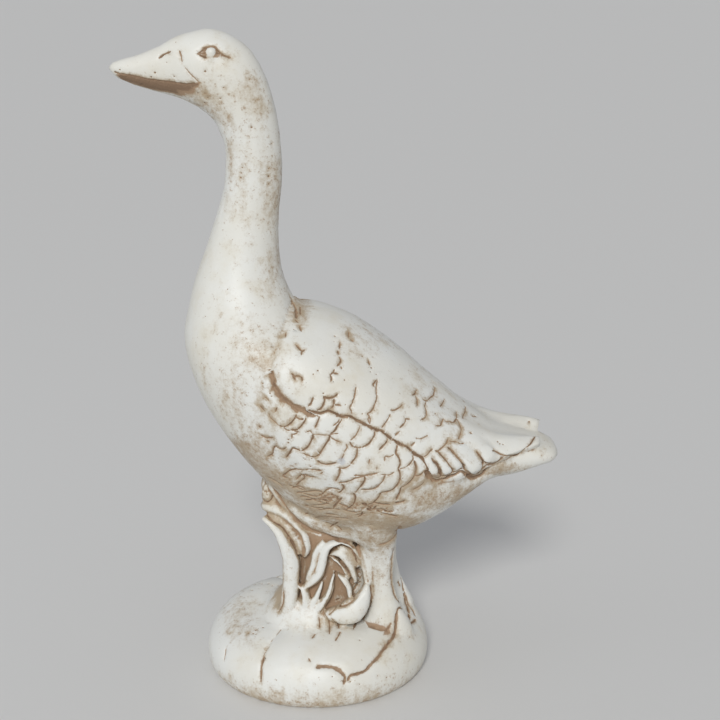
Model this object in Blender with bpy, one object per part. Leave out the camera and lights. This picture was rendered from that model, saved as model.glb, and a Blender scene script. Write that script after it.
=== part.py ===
"""A cast-stone garden goose on a round mound, as solids parted by thin cuts.

The real thing is one casting.  Here it is modelled whole and parted where a person would
name its parts.  The goose faces -X with its left side to -Y, in metres, +Z up, and the
origin is the centre of the mound's flat underside.
"""
from collections import namedtuple
from math import cos, hypot, pi, radians, sin

import bmesh
import bpy
from mathutils import Vector

MM = 0.001
SEAM = 0.3 * MM                 # the thin cut between two neighbouring parts
RING_POINTS = 18                # points round each section of the body
RINGS_PER_STATION = 1.3         # sections made from one station to the next

# The body's profile, from the bill's tip over the head and down to the tail's tip.  Each
# station is one section: its end on the crown, nape or back, its end on the throat, breast
# or belly, half of its width, all in mm, and how square it is (2 is an ellipse).
Station = namedtuple("Station", "back front half_width fullness")
PROFILE = (
    Station((-209.5, 683), (-209, 679), 4, 2.0),
    Station((-204, 687), (-204, 673), 9, 2.1),
    Station((-193, 690.5), (-195, 668), 12, 2.2),
    Station((-178, 694.5), (-181, 662.5), 13.5, 2.3),
    Station((-157, 703), (-162, 657), 17, 2.3),
    Station((-140, 711), (-145, 652.5), 21, 2.2),
    Station((-122, 717.5), (-131, 647.5), 27, 2.1),
    Station((-103, 720), (-119, 641), 30.5, 2.0),
    Station((-82, 713), (-109, 633.5), 31.5, 2.0),
    Station((-62, 697), (-101.5, 625), 31, 2.0),
    Station((-48, 671), (-96, 613), 29.5, 2.0),
    Station((-39, 640), (-92.5, 600), 28, 2.0),
    Station((-34, 605), (-92.5, 582), 27.5, 2.0),
    Station((-33, 570), (-95, 557), 28, 2.0),
    Station((-37, 532), (-103.5, 529), 30, 2.0),
    Station((-38, 498), (-116, 493), 36, 2.0),
    Station((-35, 468), (-129, 458), 45, 2.0),
    Station((-29, 449), (-138, 424), 57, 2.0),
    Station((-22, 437), (-142.5, 397), 70, 2.0),
    Station((-12, 431), (-138, 367), 82, 2.05),
    Station((2, 429), (-126, 333), 91, 2.1),
    Station((20, 424), (-108, 299), 97, 2.1),
    Station((43, 414), (-83, 263), 101, 2.15),
    Station((68, 398), (-54, 229), 103, 2.15),
    Station((93, 379), (-18, 198), 103, 2.15),
    Station((118, 356), (22, 178), 100, 2.15),
    Station((142, 336), (64, 171), 94, 2.1),
    Station((163, 318), (102, 177), 85, 2.1),
    Station((183, 303), (134, 193), 74, 2.1),
    Station((201, 292), (163, 216), 62, 2.2),
    Station((220, 286), (188, 234), 52, 2.3),
    Station((239, 281), (219, 241), 45, 2.4),
    Station((254, 276.5), (244, 249), 39, 2.4),
    Station((265, 271.5), (260, 253), 31, 2.3),
    Station((270, 266), (269, 258), 17, 2.2),
)

# The thin cuts through the body: a point on each and the way it faces, in mm.
Cut = namedtuple("Cut", "point normal")
NECK_BASE = Cut((-24, 0, 444), (-0.14, 0, 1))
NECK_TOP = Cut((-66, 0, 622), (-0.25, 0, 1))
BILL_BASE = Cut((-142, 0, 682), (-1, 0, 0.12))
MOUTH = Cut((-170, 0, 671.5), (0.14, 0, 1))
TAIL_BASE = Cut((188, 0, 262), (1, 0, 0.25))

# One folded wing, laid on the body's side: the place along the profile, the angles from the
# back of its upper and lower edges, in degrees, and how far it stands out, in mm.
Fold = namedtuple("Fold", "place upper lower lift")
WING = (
    Fold(19.6, 45, 62, 1.0),
    Fold(20.4, 36, 92, 3.5),
    Fold(21.0, 32, 104, 4.5),
    Fold(22.0, 28, 119, 5.0),
    Fold(23.0, 25, 123, 5.0),
    Fold(24.0, 22, 117, 5.0),
    Fold(25.0, 19, 107, 5.5),
    Fold(26.0, 17, 95, 6.0),
    Fold(27.0, 15, 84, 7.5),
    Fold(28.3, 13, 81, 8.5),
    Fold(29.5, 11, 76, 9.0),
    Fold(30.5, 10, 61, 9.5),
    Fold(31.4, 11, 45, 9.0),
)
WING_TIP_START = 27             # the place where its tip begins
WING_DEPTH = 9                  # how far a wing is let into the trunk, in mm ...
WING_SHARE = 0.35               # ... or this share of the body's half height, if less
WING_FLATNESS = 0.55            # how far its edges stand out, against its middle
WING_RINGS = 18
WING_POINTS = 8                 # over its outside, and as many inside
FAR_TIP_REACH = 0.35            # the right wing's tip lies further over the tail ...
FAR_TIP_RISE = 4                # ... and higher, in mm

# The mound: a low dome with full shoulders on a flat underside.
MOUND_RADIUS = 129 * MM
MOUND_DEPTH = 0.93              # its size across the goose, against its size along it
MOUND_HEIGHT = 66 * MM
MOUND_WAIST = 20 * MM           # height of its widest ring
MOUND_FOOT_RADIUS = 119 * MM    # radius of the flat underside
MOUND_SHOULDER = 4.2            # how full its shoulders are
MOUND_BACK_RISE = 9 * MM        # how much higher it is behind the foliage
MOUND_SEGMENTS = 28
MOUND_SIDE_RINGS = 5            # up to the widest ring
MOUND_TOP_RINGS = 7             # from there to near the middle

# The legs, from the mound to inside the thigh, in mm, with half widths.
Limb = namedtuple("Limb", "x y z along across")
LEG = (
    Limb(76, 30, 42, 36, 23),
    Limb(75, 30, 56, 30, 19),
    Limb(74.5, 30, 66, 23, 16),
    Limb(74, 30, 78, 17.5, 14.5),
    Limb(74, 30, 90, 14.5, 13),
    Limb(74, 31, 104, 13, 12.5),
    Limb(74, 32, 120, 13, 12.5),
    Limb(73, 34, 140, 15, 14),
    Limb(70, 36, 157, 18.5, 17),
    Limb(66, 37, 164, 24, 20.5),
    Limb(63, 38, 171, 28, 23),
    Limb(61, 38, 182, 30.5, 24.5),
    Limb(60, 36, 198, 31, 25),
    Limb(60, 32, 216, 27, 20),
)
FAR_LEG_SET_BACK = 5 * MM
LIMB_POINTS = 14                # round a leg or the stem
LEG_RINGS = 14

# The webbed feet: where the ankle stands, how the three toes fan and how long they are.
FOOT_HEEL = (94 * MM, 25 * MM)
FOOT_DIRECTIONS = (radians(0), radians(29), radians(60))
FOOT_TOES = (118 * MM, 172 * MM, 110 * MM)
FOOT_WEB = 0.92                 # the web's edge between two toes, against their length
FOOT_RISE = 3.5 * MM            # how far it stands out of the mound
FOOT_SINK = 4.0 * MM            # how deep it is let in
FOOT_ACROSS = 11                # points across the fan
FOOT_ALONG = 6                  # points from the ankle to the edge
FOOT_LIMIT = 0.97               # it ends this far out on the mound, against its radius

STONE = (0.76, 0.72, 0.63)      # cream cast stone
STONE_ROUGHNESS = 0.6

# The eyes: small domes in the sides of the head.
EYE_PLACE = (-100 * MM, 24.5 * MM, 698.5 * MM)
EYE_RADIUS = 5 * MM

# The stem that fills the space between the legs and the foliage, from mound to belly.
STEM = (
    Limb(16, 0, 48, 50, 42),
    Limb(16, 0, 72, 46, 39),
    Limb(14, 0, 110, 42, 36),
    Limb(12, 0, 150, 42, 37),
    Limb(4, 0, 200, 48, 44),
)
STEM_FULLNESS = 3.0             # its corners are fuller than an oval's
STEM_RINGS = 6

LEAF_POINTS = 6                 # round a leaf's section

# The leaves, from root to tip: x, distance from the middle plane, z and half width, in mm.
# Each faces one way and is so thick.
Leaf = namedtuple("Leaf", "name facing half_thick path")
MIDDLE_LEAF = Leaf("curled", (-1, 0, 0.5), 8, (
    (0, 0, 112, 26), (-12, 0, 148, 27), (-24, 0, 176, 26), (-38, 0, 194, 23),
    (-50, 0, 201, 18), (-58, 0, 198, 13), (-58, 0, 188, 8)))
SIDE_LEAVES = (
    Leaf("tall", (-0.35, -1, 0), 8, (
        (-31, 26, 50, 15), (-33, 33, 80, 12), (-30, 35, 112, 10.5), (-28, 35, 140, 9.5),
        (-35, 33, 164, 8), (-46, 30, 179, 5.5), (-59, 27, 188, 2.5))),
    Leaf("scroll", (0, -1, 0), 6, (
        (-9, 38, 98, 4), (2, 41, 122, 5), (7, 43, 146, 5), (17, 44, 160, 5),
        (30, 44, 162, 5), (43, 43, 153, 5), (50, 41, 139, 4.5), (55, 38, 124, 3))),
    Leaf("fold", (-0.2, -1, 0), 6, (
        (-13, 34, 100, 3), (-8, 37, 122, 4), (-3, 39, 144, 4), (5, 40, 164, 4),
        (14, 38, 180, 3))),
    Leaf("inner_scroll", (0, -1, 0), 6, (
        (15, 38, 128, 3), (21, 40, 146, 4), (32, 40, 147, 4), (39, 39, 132, 4),
        (46, 36, 110, 2.5))),
    Leaf("blade", (0, -1, 0.1), 6, (
        (0, 40, 70, 5), (10, 42, 92, 6), (17, 42, 112, 4.5), (22, 40, 128, 1.5))),
    Leaf("hook", (0, -1, 0), 6, (
        (37, 39, 80, 5), (39, 41, 98, 4.5), (33, 41, 115, 4), (24, 39, 122, 2))),
    Leaf("cup", (0.1, -1, 0.4), 8, (
        (14, 42, 58, 8), (32, 46, 72, 14), (47, 46, 88, 13), (56, 42, 106, 4))),
    Leaf("sprout", (-0.3, -1, 0), 6, (
        (-20, 34, 72, 9), (-16, 37, 92, 7), (-18, 36, 110, 2))),
)


def smooth_through(keys, count):
    """Points of an even, smooth curve through rows of numbers (Catmull-Rom)."""
    rows = [Vector(key) for key in keys]
    rows = [2 * rows[0] - rows[1]] + rows + [2 * rows[-1] - rows[-2]]
    result = []
    for i in range(count):
        place = i * (len(keys) - 1) / (count - 1)
        first = min(int(place), len(keys) - 2)
        t = place - first
        a, b, c, d = rows[first:first + 4]
        result.append(0.5 * (2 * b + (c - a) * t + (2 * a - 5 * b + 4 * c - d) * t * t
                             + (3 * b - a - 3 * c + d) * t ** 3))
    return result


def mesh_object(name, points, faces):
    """A new object from points and faces, turned outwards.

    It is split into triangles here, so that a grown copy is split the same way.
    """
    mesh = bpy.data.meshes.new(name)
    mesh.from_pydata([tuple(point) for point in points], [], faces)
    form = bmesh.new()
    form.from_mesh(mesh)
    bmesh.ops.recalc_face_normals(form, faces=form.faces)
    if form.calc_volume(signed=True) < 0:
        bmesh.ops.reverse_faces(form, faces=form.faces)
    bmesh.ops.triangulate(form, faces=form.faces)
    form.to_mesh(mesh)
    form.free()
    mesh.shade_smooth()
    mesh.set_sharp_from_angle(angle=radians(40))
    thing = bpy.data.objects.new(name, mesh)
    bpy.context.collection.objects.link(thing)
    return thing


def lofted(name, rings):
    """A closed solid through rings of equally many points, with a fan over each end."""
    around = len(rings[0])
    points = [point for ring in rings for point in ring]
    faces = []
    for i in range(len(rings) - 1):
        for j in range(around):
            k = (j + 1) % around
            faces.append((i * around + j, i * around + k,
                          (i + 1) * around + k, (i + 1) * around + j))
    for ring, start in ((rings[0], 0), (rings[-1], (len(rings) - 1) * around)):
        points.append(sum(ring, Vector()) / around)
        for j in range(around):
            faces.append((start + j, start + (j + 1) % around, len(points) - 1))
    return mesh_object(name, points, faces)


def hide(thing):
    """Keep a guide out of the model."""
    thing.hide_render = True
    thing.display_type = "WIRE"


def swollen(thing, distance=SEAM):
    """A hidden copy of a solid, grown outwards by the width of a thin cut."""
    mesh = thing.data.copy()
    for vertex, normal in zip(mesh.vertices, [v.normal.copy() for v in mesh.vertices]):
        vertex.co += normal * distance
    copy = bpy.data.objects.new(thing.name + "_cutter", mesh)
    bpy.context.collection.objects.link(copy)
    hide(copy)
    return copy


def combine(thing, operation, others):
    """Join other closed solids to this one, or cut them out of it.

    The exact solver loses solids whose faces meet edge on, as these do on the middle plane.
    """
    for other in others:
        step = thing.modifiers.new(other.name, "BOOLEAN")
        step.operation = operation
        step.solver = "MANIFOLD"
        step.object = other


def rounded(value, fullness):
    """A sine or cosine, drawn out towards a square's by the fullness (2 leaves it)."""
    return abs(value) ** (2 / fullness) * (1 if value >= 0 else -1)


def section_point(section, angle, out=0.0):
    """A point of a body section; the angle runs from the back over the left side."""
    x_back, z_back, x_front, z_front, half_width, fullness = section
    up = rounded(cos(angle), fullness)
    side = rounded(sin(angle), fullness)
    half_height = hypot(x_back - x_front, z_back - z_front) / 2
    grown = up * (1 + out / half_height) / 2
    return Vector(((x_back + x_front) / 2 + (x_back - x_front) * grown,
                   -side * (half_width + out),
                   (z_back + z_front) / 2 + (z_back - z_front) * grown)) * MM


def profile_sections(count):
    """Body sections, evenly along the stations."""
    return smooth_through([s.back + s.front + (s.half_width, s.fullness) for s in PROFILE],
                          count)


def whole_body(name):
    """Bill, head, neck, trunk and tail as one solid."""
    sections = profile_sections(round((len(PROFILE) - 1) * RINGS_PER_STATION) + 1)
    turn = 2 * pi / RING_POINTS
    return lofted(name, [[section_point(section, turn * i) for i in range(RING_POINTS)]
                         for section in sections])


def kept_side(thing, cut, sign):
    """Keep what lies on one side of a cut plane, half a seam away from it, and close it."""
    normal = Vector(cut.normal).normalized() * sign
    point = Vector(cut.point) * MM + normal * (SEAM / 2)
    form = bmesh.new()
    form.from_mesh(thing.data)
    everything = form.verts[:] + form.edges[:] + form.faces[:]
    made = bmesh.ops.bisect_plane(form, geom=everything, plane_co=point, plane_no=normal,
                                  clear_inner=True)
    rim = [e for e in made["geom_cut"] if isinstance(e, bmesh.types.BMEdge)]
    bmesh.ops.triangle_fill(form, edges=rim, use_beauty=True)
    bmesh.ops.recalc_face_normals(form, faces=form.faces)
    form.to_mesh(thing.data)
    form.free()


def body_part(whole, name, *sides):
    """One named part of the body: what lies on the given sides of the given cuts."""
    thing = bpy.data.objects.new(name, whole.data.copy())
    bpy.context.collection.objects.link(thing)
    for cut, sign in sides:
        kept_side(thing, cut, sign)
    return thing


def make_body(whole):
    """The bill's two halves, the head, the neck, the trunk and the tail."""
    return {
        "bill_upper": body_part(whole, "bill_upper", (NECK_BASE, 1), (NECK_TOP, 1),
                                (BILL_BASE, 1), (MOUTH, 1)),
        "bill_lower": body_part(whole, "bill_lower", (NECK_BASE, 1), (NECK_TOP, 1),
                                (BILL_BASE, 1), (MOUTH, -1)),
        "head": body_part(whole, "head", (NECK_BASE, 1), (NECK_TOP, 1), (BILL_BASE, -1)),
        "neck": body_part(whole, "neck", (NECK_BASE, 1), (NECK_TOP, -1)),
        "trunk": body_part(whole, "trunk", (NECK_BASE, -1), (TAIL_BASE, -1)),
        "tail": body_part(whole, "tail", (NECK_BASE, -1), (TAIL_BASE, 1)),
    }


def wing_depth(section):
    """How deep a wing is let in at a section, in mm: less where the tail is thin."""
    x_back, z_back, x_front, z_front = list(section)[:4]
    half_height = hypot(x_back - x_front, z_back - z_front) / 2
    return min(WING_DEPTH, WING_SHARE * half_height)


def make_wing(name, side, reach, rise):
    """A folded wing: a thick patch of the body's side, let into it and standing out of it."""
    fine = 8
    sections = profile_sections((len(PROFILE) - 1) * fine + 1)
    folds = [list(fold) for fold in WING]
    for row in folds:
        towards_tip = max(0.0, (row[0] - WING_TIP_START) / (WING[-1].place - WING_TIP_START))
        row[0] += reach * towards_tip
        row[3] += rise * towards_tip
    rings = []
    for place, upper, lower, lift in smooth_through(folds, WING_RINGS):
        section = sections[min(round(place * fine), len(sections) - 1)]
        outer = []
        inner = []
        for i in range(WING_POINTS):
            t = i / (WING_POINTS - 1)
            angle = radians(upper + (lower - upper) * t)
            plump = lift * (WING_FLATNESS + (1 - WING_FLATNESS) * sin(pi * t) ** 0.5)
            outer.append(section_point(section, angle, plump))
            inner.append(section_point(section, angle, -wing_depth(section)))
        ring = outer + inner[::-1]
        rings.append([Vector((p.x, p.y * side, p.z)) for p in ring])
    return lofted(name, rings)


def mound_height(x, y):
    """Height of the mound's top over the ground at a place on it."""
    r = min(hypot(x, y / MOUND_DEPTH) / MOUND_RADIUS, 1.0)
    rise = (1 - r ** MOUND_SHOULDER) ** (1 / 2)
    t = min(max((y / MM + 30) / 75, 0), 1)
    behind = MOUND_BACK_RISE * t * t * (3 - 2 * t) * rise ** 0.5
    return MOUND_WAIST + (MOUND_HEIGHT - MOUND_WAIST) * rise + behind


def make_mound():
    """The round base, with full shoulders and a rounded lower edge."""
    profile = []
    for i in range(MOUND_SIDE_RINGS):
        turn = pi / 2 * i / (MOUND_SIDE_RINGS - 1)
        radius = MOUND_FOOT_RADIUS + (MOUND_RADIUS - MOUND_FOOT_RADIUS) * sin(turn)
        profile.append((radius, MOUND_WAIST * (1 - cos(turn))))
    for i in range(1, MOUND_TOP_RINGS + 1):
        radius = MOUND_RADIUS * cos(pi / 2 * i / (MOUND_TOP_RINGS + 1)) ** 0.75
        profile.append((radius, None))
    turn = 2 * pi / MOUND_SEGMENTS
    rings = []
    for radius, height in profile:
        ring = []
        for j in range(MOUND_SEGMENTS):
            x = radius * cos(turn * j)
            y = MOUND_DEPTH * radius * sin(turn * j)
            ring.append(Vector((x, y, mound_height(x, y) if height is None else height)))
        rings.append(ring)
    return lofted("mound", rings)


def column(name, limbs, count, side=1, set_back=0.0, fullness=2.0):
    """An upright limb with rounded level sections."""
    turn = 2 * pi / LIMB_POINTS
    rings = []
    for x, y, z, along, across in smooth_through(limbs, count):
        ring = []
        for i in range(LIMB_POINTS):
            out = along * rounded(cos(turn * i), fullness)
            aside = across * rounded(sin(turn * i), fullness)
            ring.append(Vector((x + out + set_back / MM, side * (y + aside), z)) * MM)
        rings.append(ring)
    return lofted(name, rings)


def make_leaf(leaf, side):
    """A blade with oval sections along a smooth path, facing one way."""
    facing = Vector((leaf.facing[0], leaf.facing[1] * side, leaf.facing[2])).normalized()
    spine = [Vector((x, -side * y, z)) for x, y, z, _ in leaf.path]
    rings = []
    for i, (_, _, _, half_width) in enumerate(leaf.path):
        along = (spine[min(i + 1, len(spine) - 1)] - spine[max(i - 1, 0)]).normalized()
        across = along.cross(facing).normalized()
        out = across.cross(along).normalized()
        thick = leaf.half_thick * min(1.0, 0.35 + half_width / 6)
        turn = 2 * pi / LEAF_POINTS
        rings.append([(spine[i] + across * half_width * cos(turn * j)
                       + out * thick * sin(turn * j)) * MM for j in range(LEAF_POINTS)])
    return lofted("leaf_" + leaf.name, rings)


def make_foliage():
    """The stem and its leaves as one solid."""
    foliage = column("foliage", STEM, STEM_RINGS, fullness=STEM_FULLNESS)
    leaves = [make_leaf(MIDDLE_LEAF, 1)]
    for leaf in SIDE_LEAVES:
        leaves += [make_leaf(leaf, side) for side in (1, -1)]
    for leaf in leaves:
        hide(leaf)
    combine(foliage, "UNION", leaves)
    return foliage


def make_eye(name, side):
    """The dome of one eye."""
    form = bmesh.new()
    bmesh.ops.create_uvsphere(form, u_segments=10, v_segments=6, radius=EYE_RADIUS)
    mesh = bpy.data.meshes.new(name)
    x, y, z = EYE_PLACE
    bmesh.ops.translate(form, verts=form.verts, vec=(x, side * y, z))
    form.to_mesh(mesh)
    form.free()
    mesh.shade_smooth()
    eye = bpy.data.objects.new(name, mesh)
    bpy.context.collection.objects.link(eye)
    return eye


def foot_reach(direction):
    """How far the foot reaches from the ankle in one direction, over toes and webs."""
    for i in range(len(FOOT_TOES) - 1):
        start, end = FOOT_DIRECTIONS[i:i + 2]
        if direction <= end or i == len(FOOT_TOES) - 2:
            t = min(max((direction - start) / (end - start), 0), 1)
            web = 1 - (1 - FOOT_WEB) * sin(pi * t)
            return (FOOT_TOES[i] * (1 - t) + FOOT_TOES[i + 1] * t) * web
    return FOOT_TOES[-1]


def make_foot(name, side, set_back):
    """A webbed foot: a low fan that follows the mound, let into it."""
    top = []
    bottom = []
    for i in range(FOOT_ACROSS):
        t = i / (FOOT_ACROSS - 1)
        direction = FOOT_DIRECTIONS[0] * (1 - t) + FOOT_DIRECTIONS[-1] * t
        reach = foot_reach(direction)
        for j in range(FOOT_ALONG):
            along = reach * (0.04 + 0.96 * j / (FOOT_ALONG - 1))
            x = FOOT_HEEL[0] + set_back - along * cos(direction)
            y = FOOT_HEEL[1] + along * sin(direction)
            beyond = hypot(x, y / MOUND_DEPTH) / (FOOT_LIMIT * MOUND_RADIUS)
            if beyond > 1:
                x, y = x / beyond, y / beyond
            height = mound_height(x, side * y)
            top.append(Vector((x, side * y, height + FOOT_RISE)))
            bottom.append(Vector((x, side * y, height - FOOT_SINK)))
    points = top + bottom
    count = len(top)
    faces = []
    for i in range(FOOT_ACROSS - 1):
        for j in range(FOOT_ALONG - 1):
            a = i * FOOT_ALONG + j
            quad = (a, a + 1, a + FOOT_ALONG + 1, a + FOOT_ALONG)
            faces.append(quad)
            faces.append(tuple(k + count for k in quad))
    last = (FOOT_ACROSS - 1) * FOOT_ALONG
    rim = list(range(FOOT_ALONG))
    rim += [i * FOOT_ALONG + FOOT_ALONG - 1 for i in range(1, FOOT_ACROSS)]
    rim += [last + j for j in range(FOOT_ALONG - 2, -1, -1)]
    rim += [i * FOOT_ALONG for i in range(FOOT_ACROSS - 2, 0, -1)]
    for a, b in zip(rim, rim[1:] + rim[:1]):
        faces.append((a, b, b + count, a + count))
    return mesh_object(name, points, faces)


def paint(thing, name, colour, roughness):
    """Give a part its own stone."""
    stone = bpy.data.materials.new(name)
    stone.use_nodes = True
    shader = stone.node_tree.nodes["Principled BSDF"]
    shader.inputs["Base Color"].default_value = (*colour, 1)
    shader.inputs["Roughness"].default_value = roughness
    shader.inputs["Metallic"].default_value = 0.0
    thing.data.materials.clear()
    thing.data.materials.append(stone)


def part_from_each_other(parts, whole):
    """Cut the thin seams, each part by a slightly grown copy of the part that goes before."""
    body = swollen(whole)
    grown = {name: swollen(part) for name, part in parts.items()
             if name in ("wing_left", "wing_right", "mound", "eye_left", "eye_right",
                         "foot_left", "foot_right", "leg_left", "leg_right")}
    wings = [grown["wing_left"], grown["wing_right"]]
    feet = [grown["foot_left"], grown["foot_right"]]
    legs = [grown["leg_left"], grown["leg_right"]]
    combine(parts["trunk"], "DIFFERENCE", wings)
    combine(parts["tail"], "DIFFERENCE", wings)
    combine(parts["head"], "DIFFERENCE", [grown["eye_left"], grown["eye_right"]])
    combine(parts["mound"], "DIFFERENCE", feet)
    for side in ("left", "right"):
        combine(parts["leg_" + side], "DIFFERENCE", [body, grown["mound"]] + feet)
    combine(parts["foliage"], "DIFFERENCE", [body, grown["mound"]] + feet + legs)


def main():
    """Build the goose, its foliage and its mound."""
    for thing in list(bpy.data.objects):
        bpy.data.objects.remove(thing)
    whole = whole_body("whole_body")
    hide(whole)
    parts = make_body(whole)
    parts["eye_left"] = make_eye("eye_left", -1)
    parts["eye_right"] = make_eye("eye_right", 1)
    parts["wing_left"] = make_wing("wing_left", 1, 0.0, 0)
    parts["wing_right"] = make_wing("wing_right", -1, FAR_TIP_REACH, FAR_TIP_RISE)
    parts["leg_left"] = column("leg_left", LEG, LEG_RINGS, -1)
    parts["leg_right"] = column("leg_right", LEG, LEG_RINGS, 1, FAR_LEG_SET_BACK)
    parts["foot_left"] = make_foot("foot_left", -1, 0.0)
    parts["foot_right"] = make_foot("foot_right", 1, FAR_LEG_SET_BACK)
    parts["foliage"] = make_foliage()
    parts["mound"] = make_mound()
    part_from_each_other(parts, whole)
    for name, part in parts.items():
        paint(part, name + "_stone", STONE, STONE_ROUGHNESS)


main()
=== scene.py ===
"""The looks of a cast-stone garden goose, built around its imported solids.

One skin stands for the whole casting.  Its plain forms are lofted and cast into one, its
feathers and folds are carved along lines on its surface, and a brown wash stays in them.
The goose faces -X with its left side to -Y.  Sizes in the tables are in millimetres.
"""
from collections import namedtuple

import bmesh
import bpy
import numpy as np
from mathutils import Euler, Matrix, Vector
from mathutils.bvhtree import BVHTree


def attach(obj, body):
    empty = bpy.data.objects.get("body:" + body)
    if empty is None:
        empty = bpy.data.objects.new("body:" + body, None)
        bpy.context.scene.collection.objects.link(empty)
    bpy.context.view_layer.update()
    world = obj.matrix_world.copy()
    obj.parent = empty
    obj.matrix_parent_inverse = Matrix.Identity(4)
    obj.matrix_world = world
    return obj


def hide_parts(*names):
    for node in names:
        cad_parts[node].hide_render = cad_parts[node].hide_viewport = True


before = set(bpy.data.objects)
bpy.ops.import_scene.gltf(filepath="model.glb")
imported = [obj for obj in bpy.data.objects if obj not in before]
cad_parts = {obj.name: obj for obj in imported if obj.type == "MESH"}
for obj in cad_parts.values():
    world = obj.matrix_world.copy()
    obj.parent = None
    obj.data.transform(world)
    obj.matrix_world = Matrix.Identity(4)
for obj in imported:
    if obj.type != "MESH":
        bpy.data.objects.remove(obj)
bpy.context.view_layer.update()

bl_info = {
    "name": "Cast-stone goose",
    "version": (1, 0, 0),
    "blender": (4, 5, 0),
    "location": "3D View > Sidebar > Goose",
    "description": "Builds a cast-stone garden goose that stands on its own mound",
    "category": "Object",
}

MM = 0.001
CASTING = "goose_casting"
# How near a line the skin is kept fine, in millimetres, and how much stipple keeps it fine
# as well.
LINE_REACH = 2.4
ROUGH_ENOUGH = 0.4

# The body from the bill's tip over the head and down to the tail's tip: each section's end
# on the back (x, z), its end on the front (x, z), half of its width, and how square it is.
PROFILE = (
    (-209.5, 683, -209, 679, 4, 2.0), (-204, 687, -204, 673, 9, 2.1),
    (-193, 690.5, -195, 668, 12, 2.2), (-178, 694.5, -181, 662.5, 13.5, 2.3),
    (-157, 703, -162, 657, 17, 2.3), (-140, 712, -145, 652.5, 21, 2.2),
    (-122, 717.5, -131, 647.5, 27, 2.1), (-103, 720, -119, 641, 30.5, 2.0),
    (-82, 713, -109, 633.5, 31.5, 2.0), (-62, 697, -101.5, 625, 31, 2.0),
    (-48, 671, -96, 613, 29.5, 2.0), (-39, 640, -92.5, 600, 28, 2.0),
    (-34, 605, -92.5, 582, 27.5, 2.0), (-33, 570, -95, 557, 28, 2.0),
    (-37, 532, -103.5, 529, 30, 2.0), (-38, 498, -116, 493, 36, 2.0),
    (-35, 468, -129, 458, 45, 2.0), (-29, 449, -138, 424, 57, 2.0),
    (-22, 437, -142.5, 397, 70, 2.0), (-12, 431, -138, 367, 82, 2.05),
    (2, 429, -126, 333, 91, 2.1), (20, 424, -108, 299, 97, 2.1),
    (43, 414, -83, 263, 101, 2.15), (68, 398, -54, 229, 103, 2.15),
    (93, 379, -18, 198, 103, 2.15), (118, 356, 22, 178, 100, 2.15),
    (142, 336, 64, 171, 94, 2.1), (163, 318, 102, 177, 85, 2.1),
    (183, 303, 134, 193, 74, 2.1), (201, 292, 163, 216, 62, 2.2),
    (220, 286, 188, 234, 52, 2.3), (239, 281, 219, 241, 45, 2.4),
    (254, 276.5, 244, 249, 39, 2.4), (265, 271.5, 260, 253, 31, 2.3),
    (270, 266, 269, 258, 17, 2.2),
)

# A folded wing: place along the profile, angles of its upper and lower edges from the
# back, in degrees, how far it stands out, and how sharply its lower edge ends (0 to 1).
WING = (
    (19.0, 50, 66, -1.5, 0), (19.8, 42, 80, 1.0, 0), (20.4, 36, 92, 3.0, 0),
    (21.0, 32, 104, 4.5, 0), (22.0, 28, 119, 5.0, 0), (23.0, 25, 123, 5.0, 0),
    (24.0, 22, 117, 5.0, 0), (25.0, 19, 107, 5.5, 0.1), (26.0, 17, 95, 6.0, 0.4),
    (27.0, 15, 84, 7.5, 0.8), (28.3, 13, 81, 8.5, 1), (29.5, 11, 76, 9.0, 1),
    (30.5, 10, 61, 9.5, 1), (31.4, 11, 45, 9.0, 1),
)
WING_TIP_START = 27
WING_TIP_END = 31.4
WING_DEPTH = 9
FAR_TIP_REACH = 0.35
FAR_TIP_RISE = 4

# The mound: a low dome with full shoulders.
MOUND_RADIUS = 129
MOUND_DEPTH = 0.93
MOUND_HEIGHT = 66
MOUND_WAIST = 20
MOUND_FOOT_RADIUS = 119
MOUND_SHOULDER = 4.2
MOUND_BACK_RISE = 9

# Legs and stem: x, y, z, half size along the goose and across it.
LEG = (
    (76, 30, 42, 36, 23), (78, 30, 56, 31, 19), (79, 30, 66, 26, 16.5), (78, 30, 78, 20.5, 15),
    (76.5, 30, 90, 17, 13.5), (75, 31, 104, 14, 12.5), (74, 32, 120, 13, 12.5),
    (73, 34, 142, 15, 14), (70, 36, 160, 18.5, 17), (66, 37, 168, 24, 20.5),
    (63, 38, 175, 28, 23.5), (61, 38, 182, 30, 27), (61, 38, 188, 31, 30.5),
    (60, 38, 195, 32, 35), (60, 37, 204, 33, 39), (60, 34, 216, 32, 42),
)
FAR_LEG_SET_BACK = 5
STEM = (
    (16, 0, 48, 56, 44), (16, 0, 66, 50, 38), (17, 0, 80, 46, 36), (17, 0, 110, 45, 35),
    (15, 0, 150, 45, 35), (4, 0, 200, 48, 44),
)
# Where the foliage spreads into the mound.
ROOT = (
    (-8, 0, 50, 72, 72), (-8, 0, 62, 60, 62), (-8, 0, 72, 50, 54), (-8, 0, 80, 43, 49),
    (-8, 0, 87, 36, 44), (-8, 0, 93, 28, 38),
)

# The feet: the ankle, the three toes' directions in degrees, and their lengths.
FOOT_HEEL = (94, 25)
FOOT_DIRECTIONS = (0, 29, 60)
FOOT_TOES = (118, 172, 110)
FOOT_WEB = 0.92
FOOT_RISE = 2.4

EYE_PLACE = (-101, 25.4, 697.5)
EYE_RADIUS = 5.8

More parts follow.
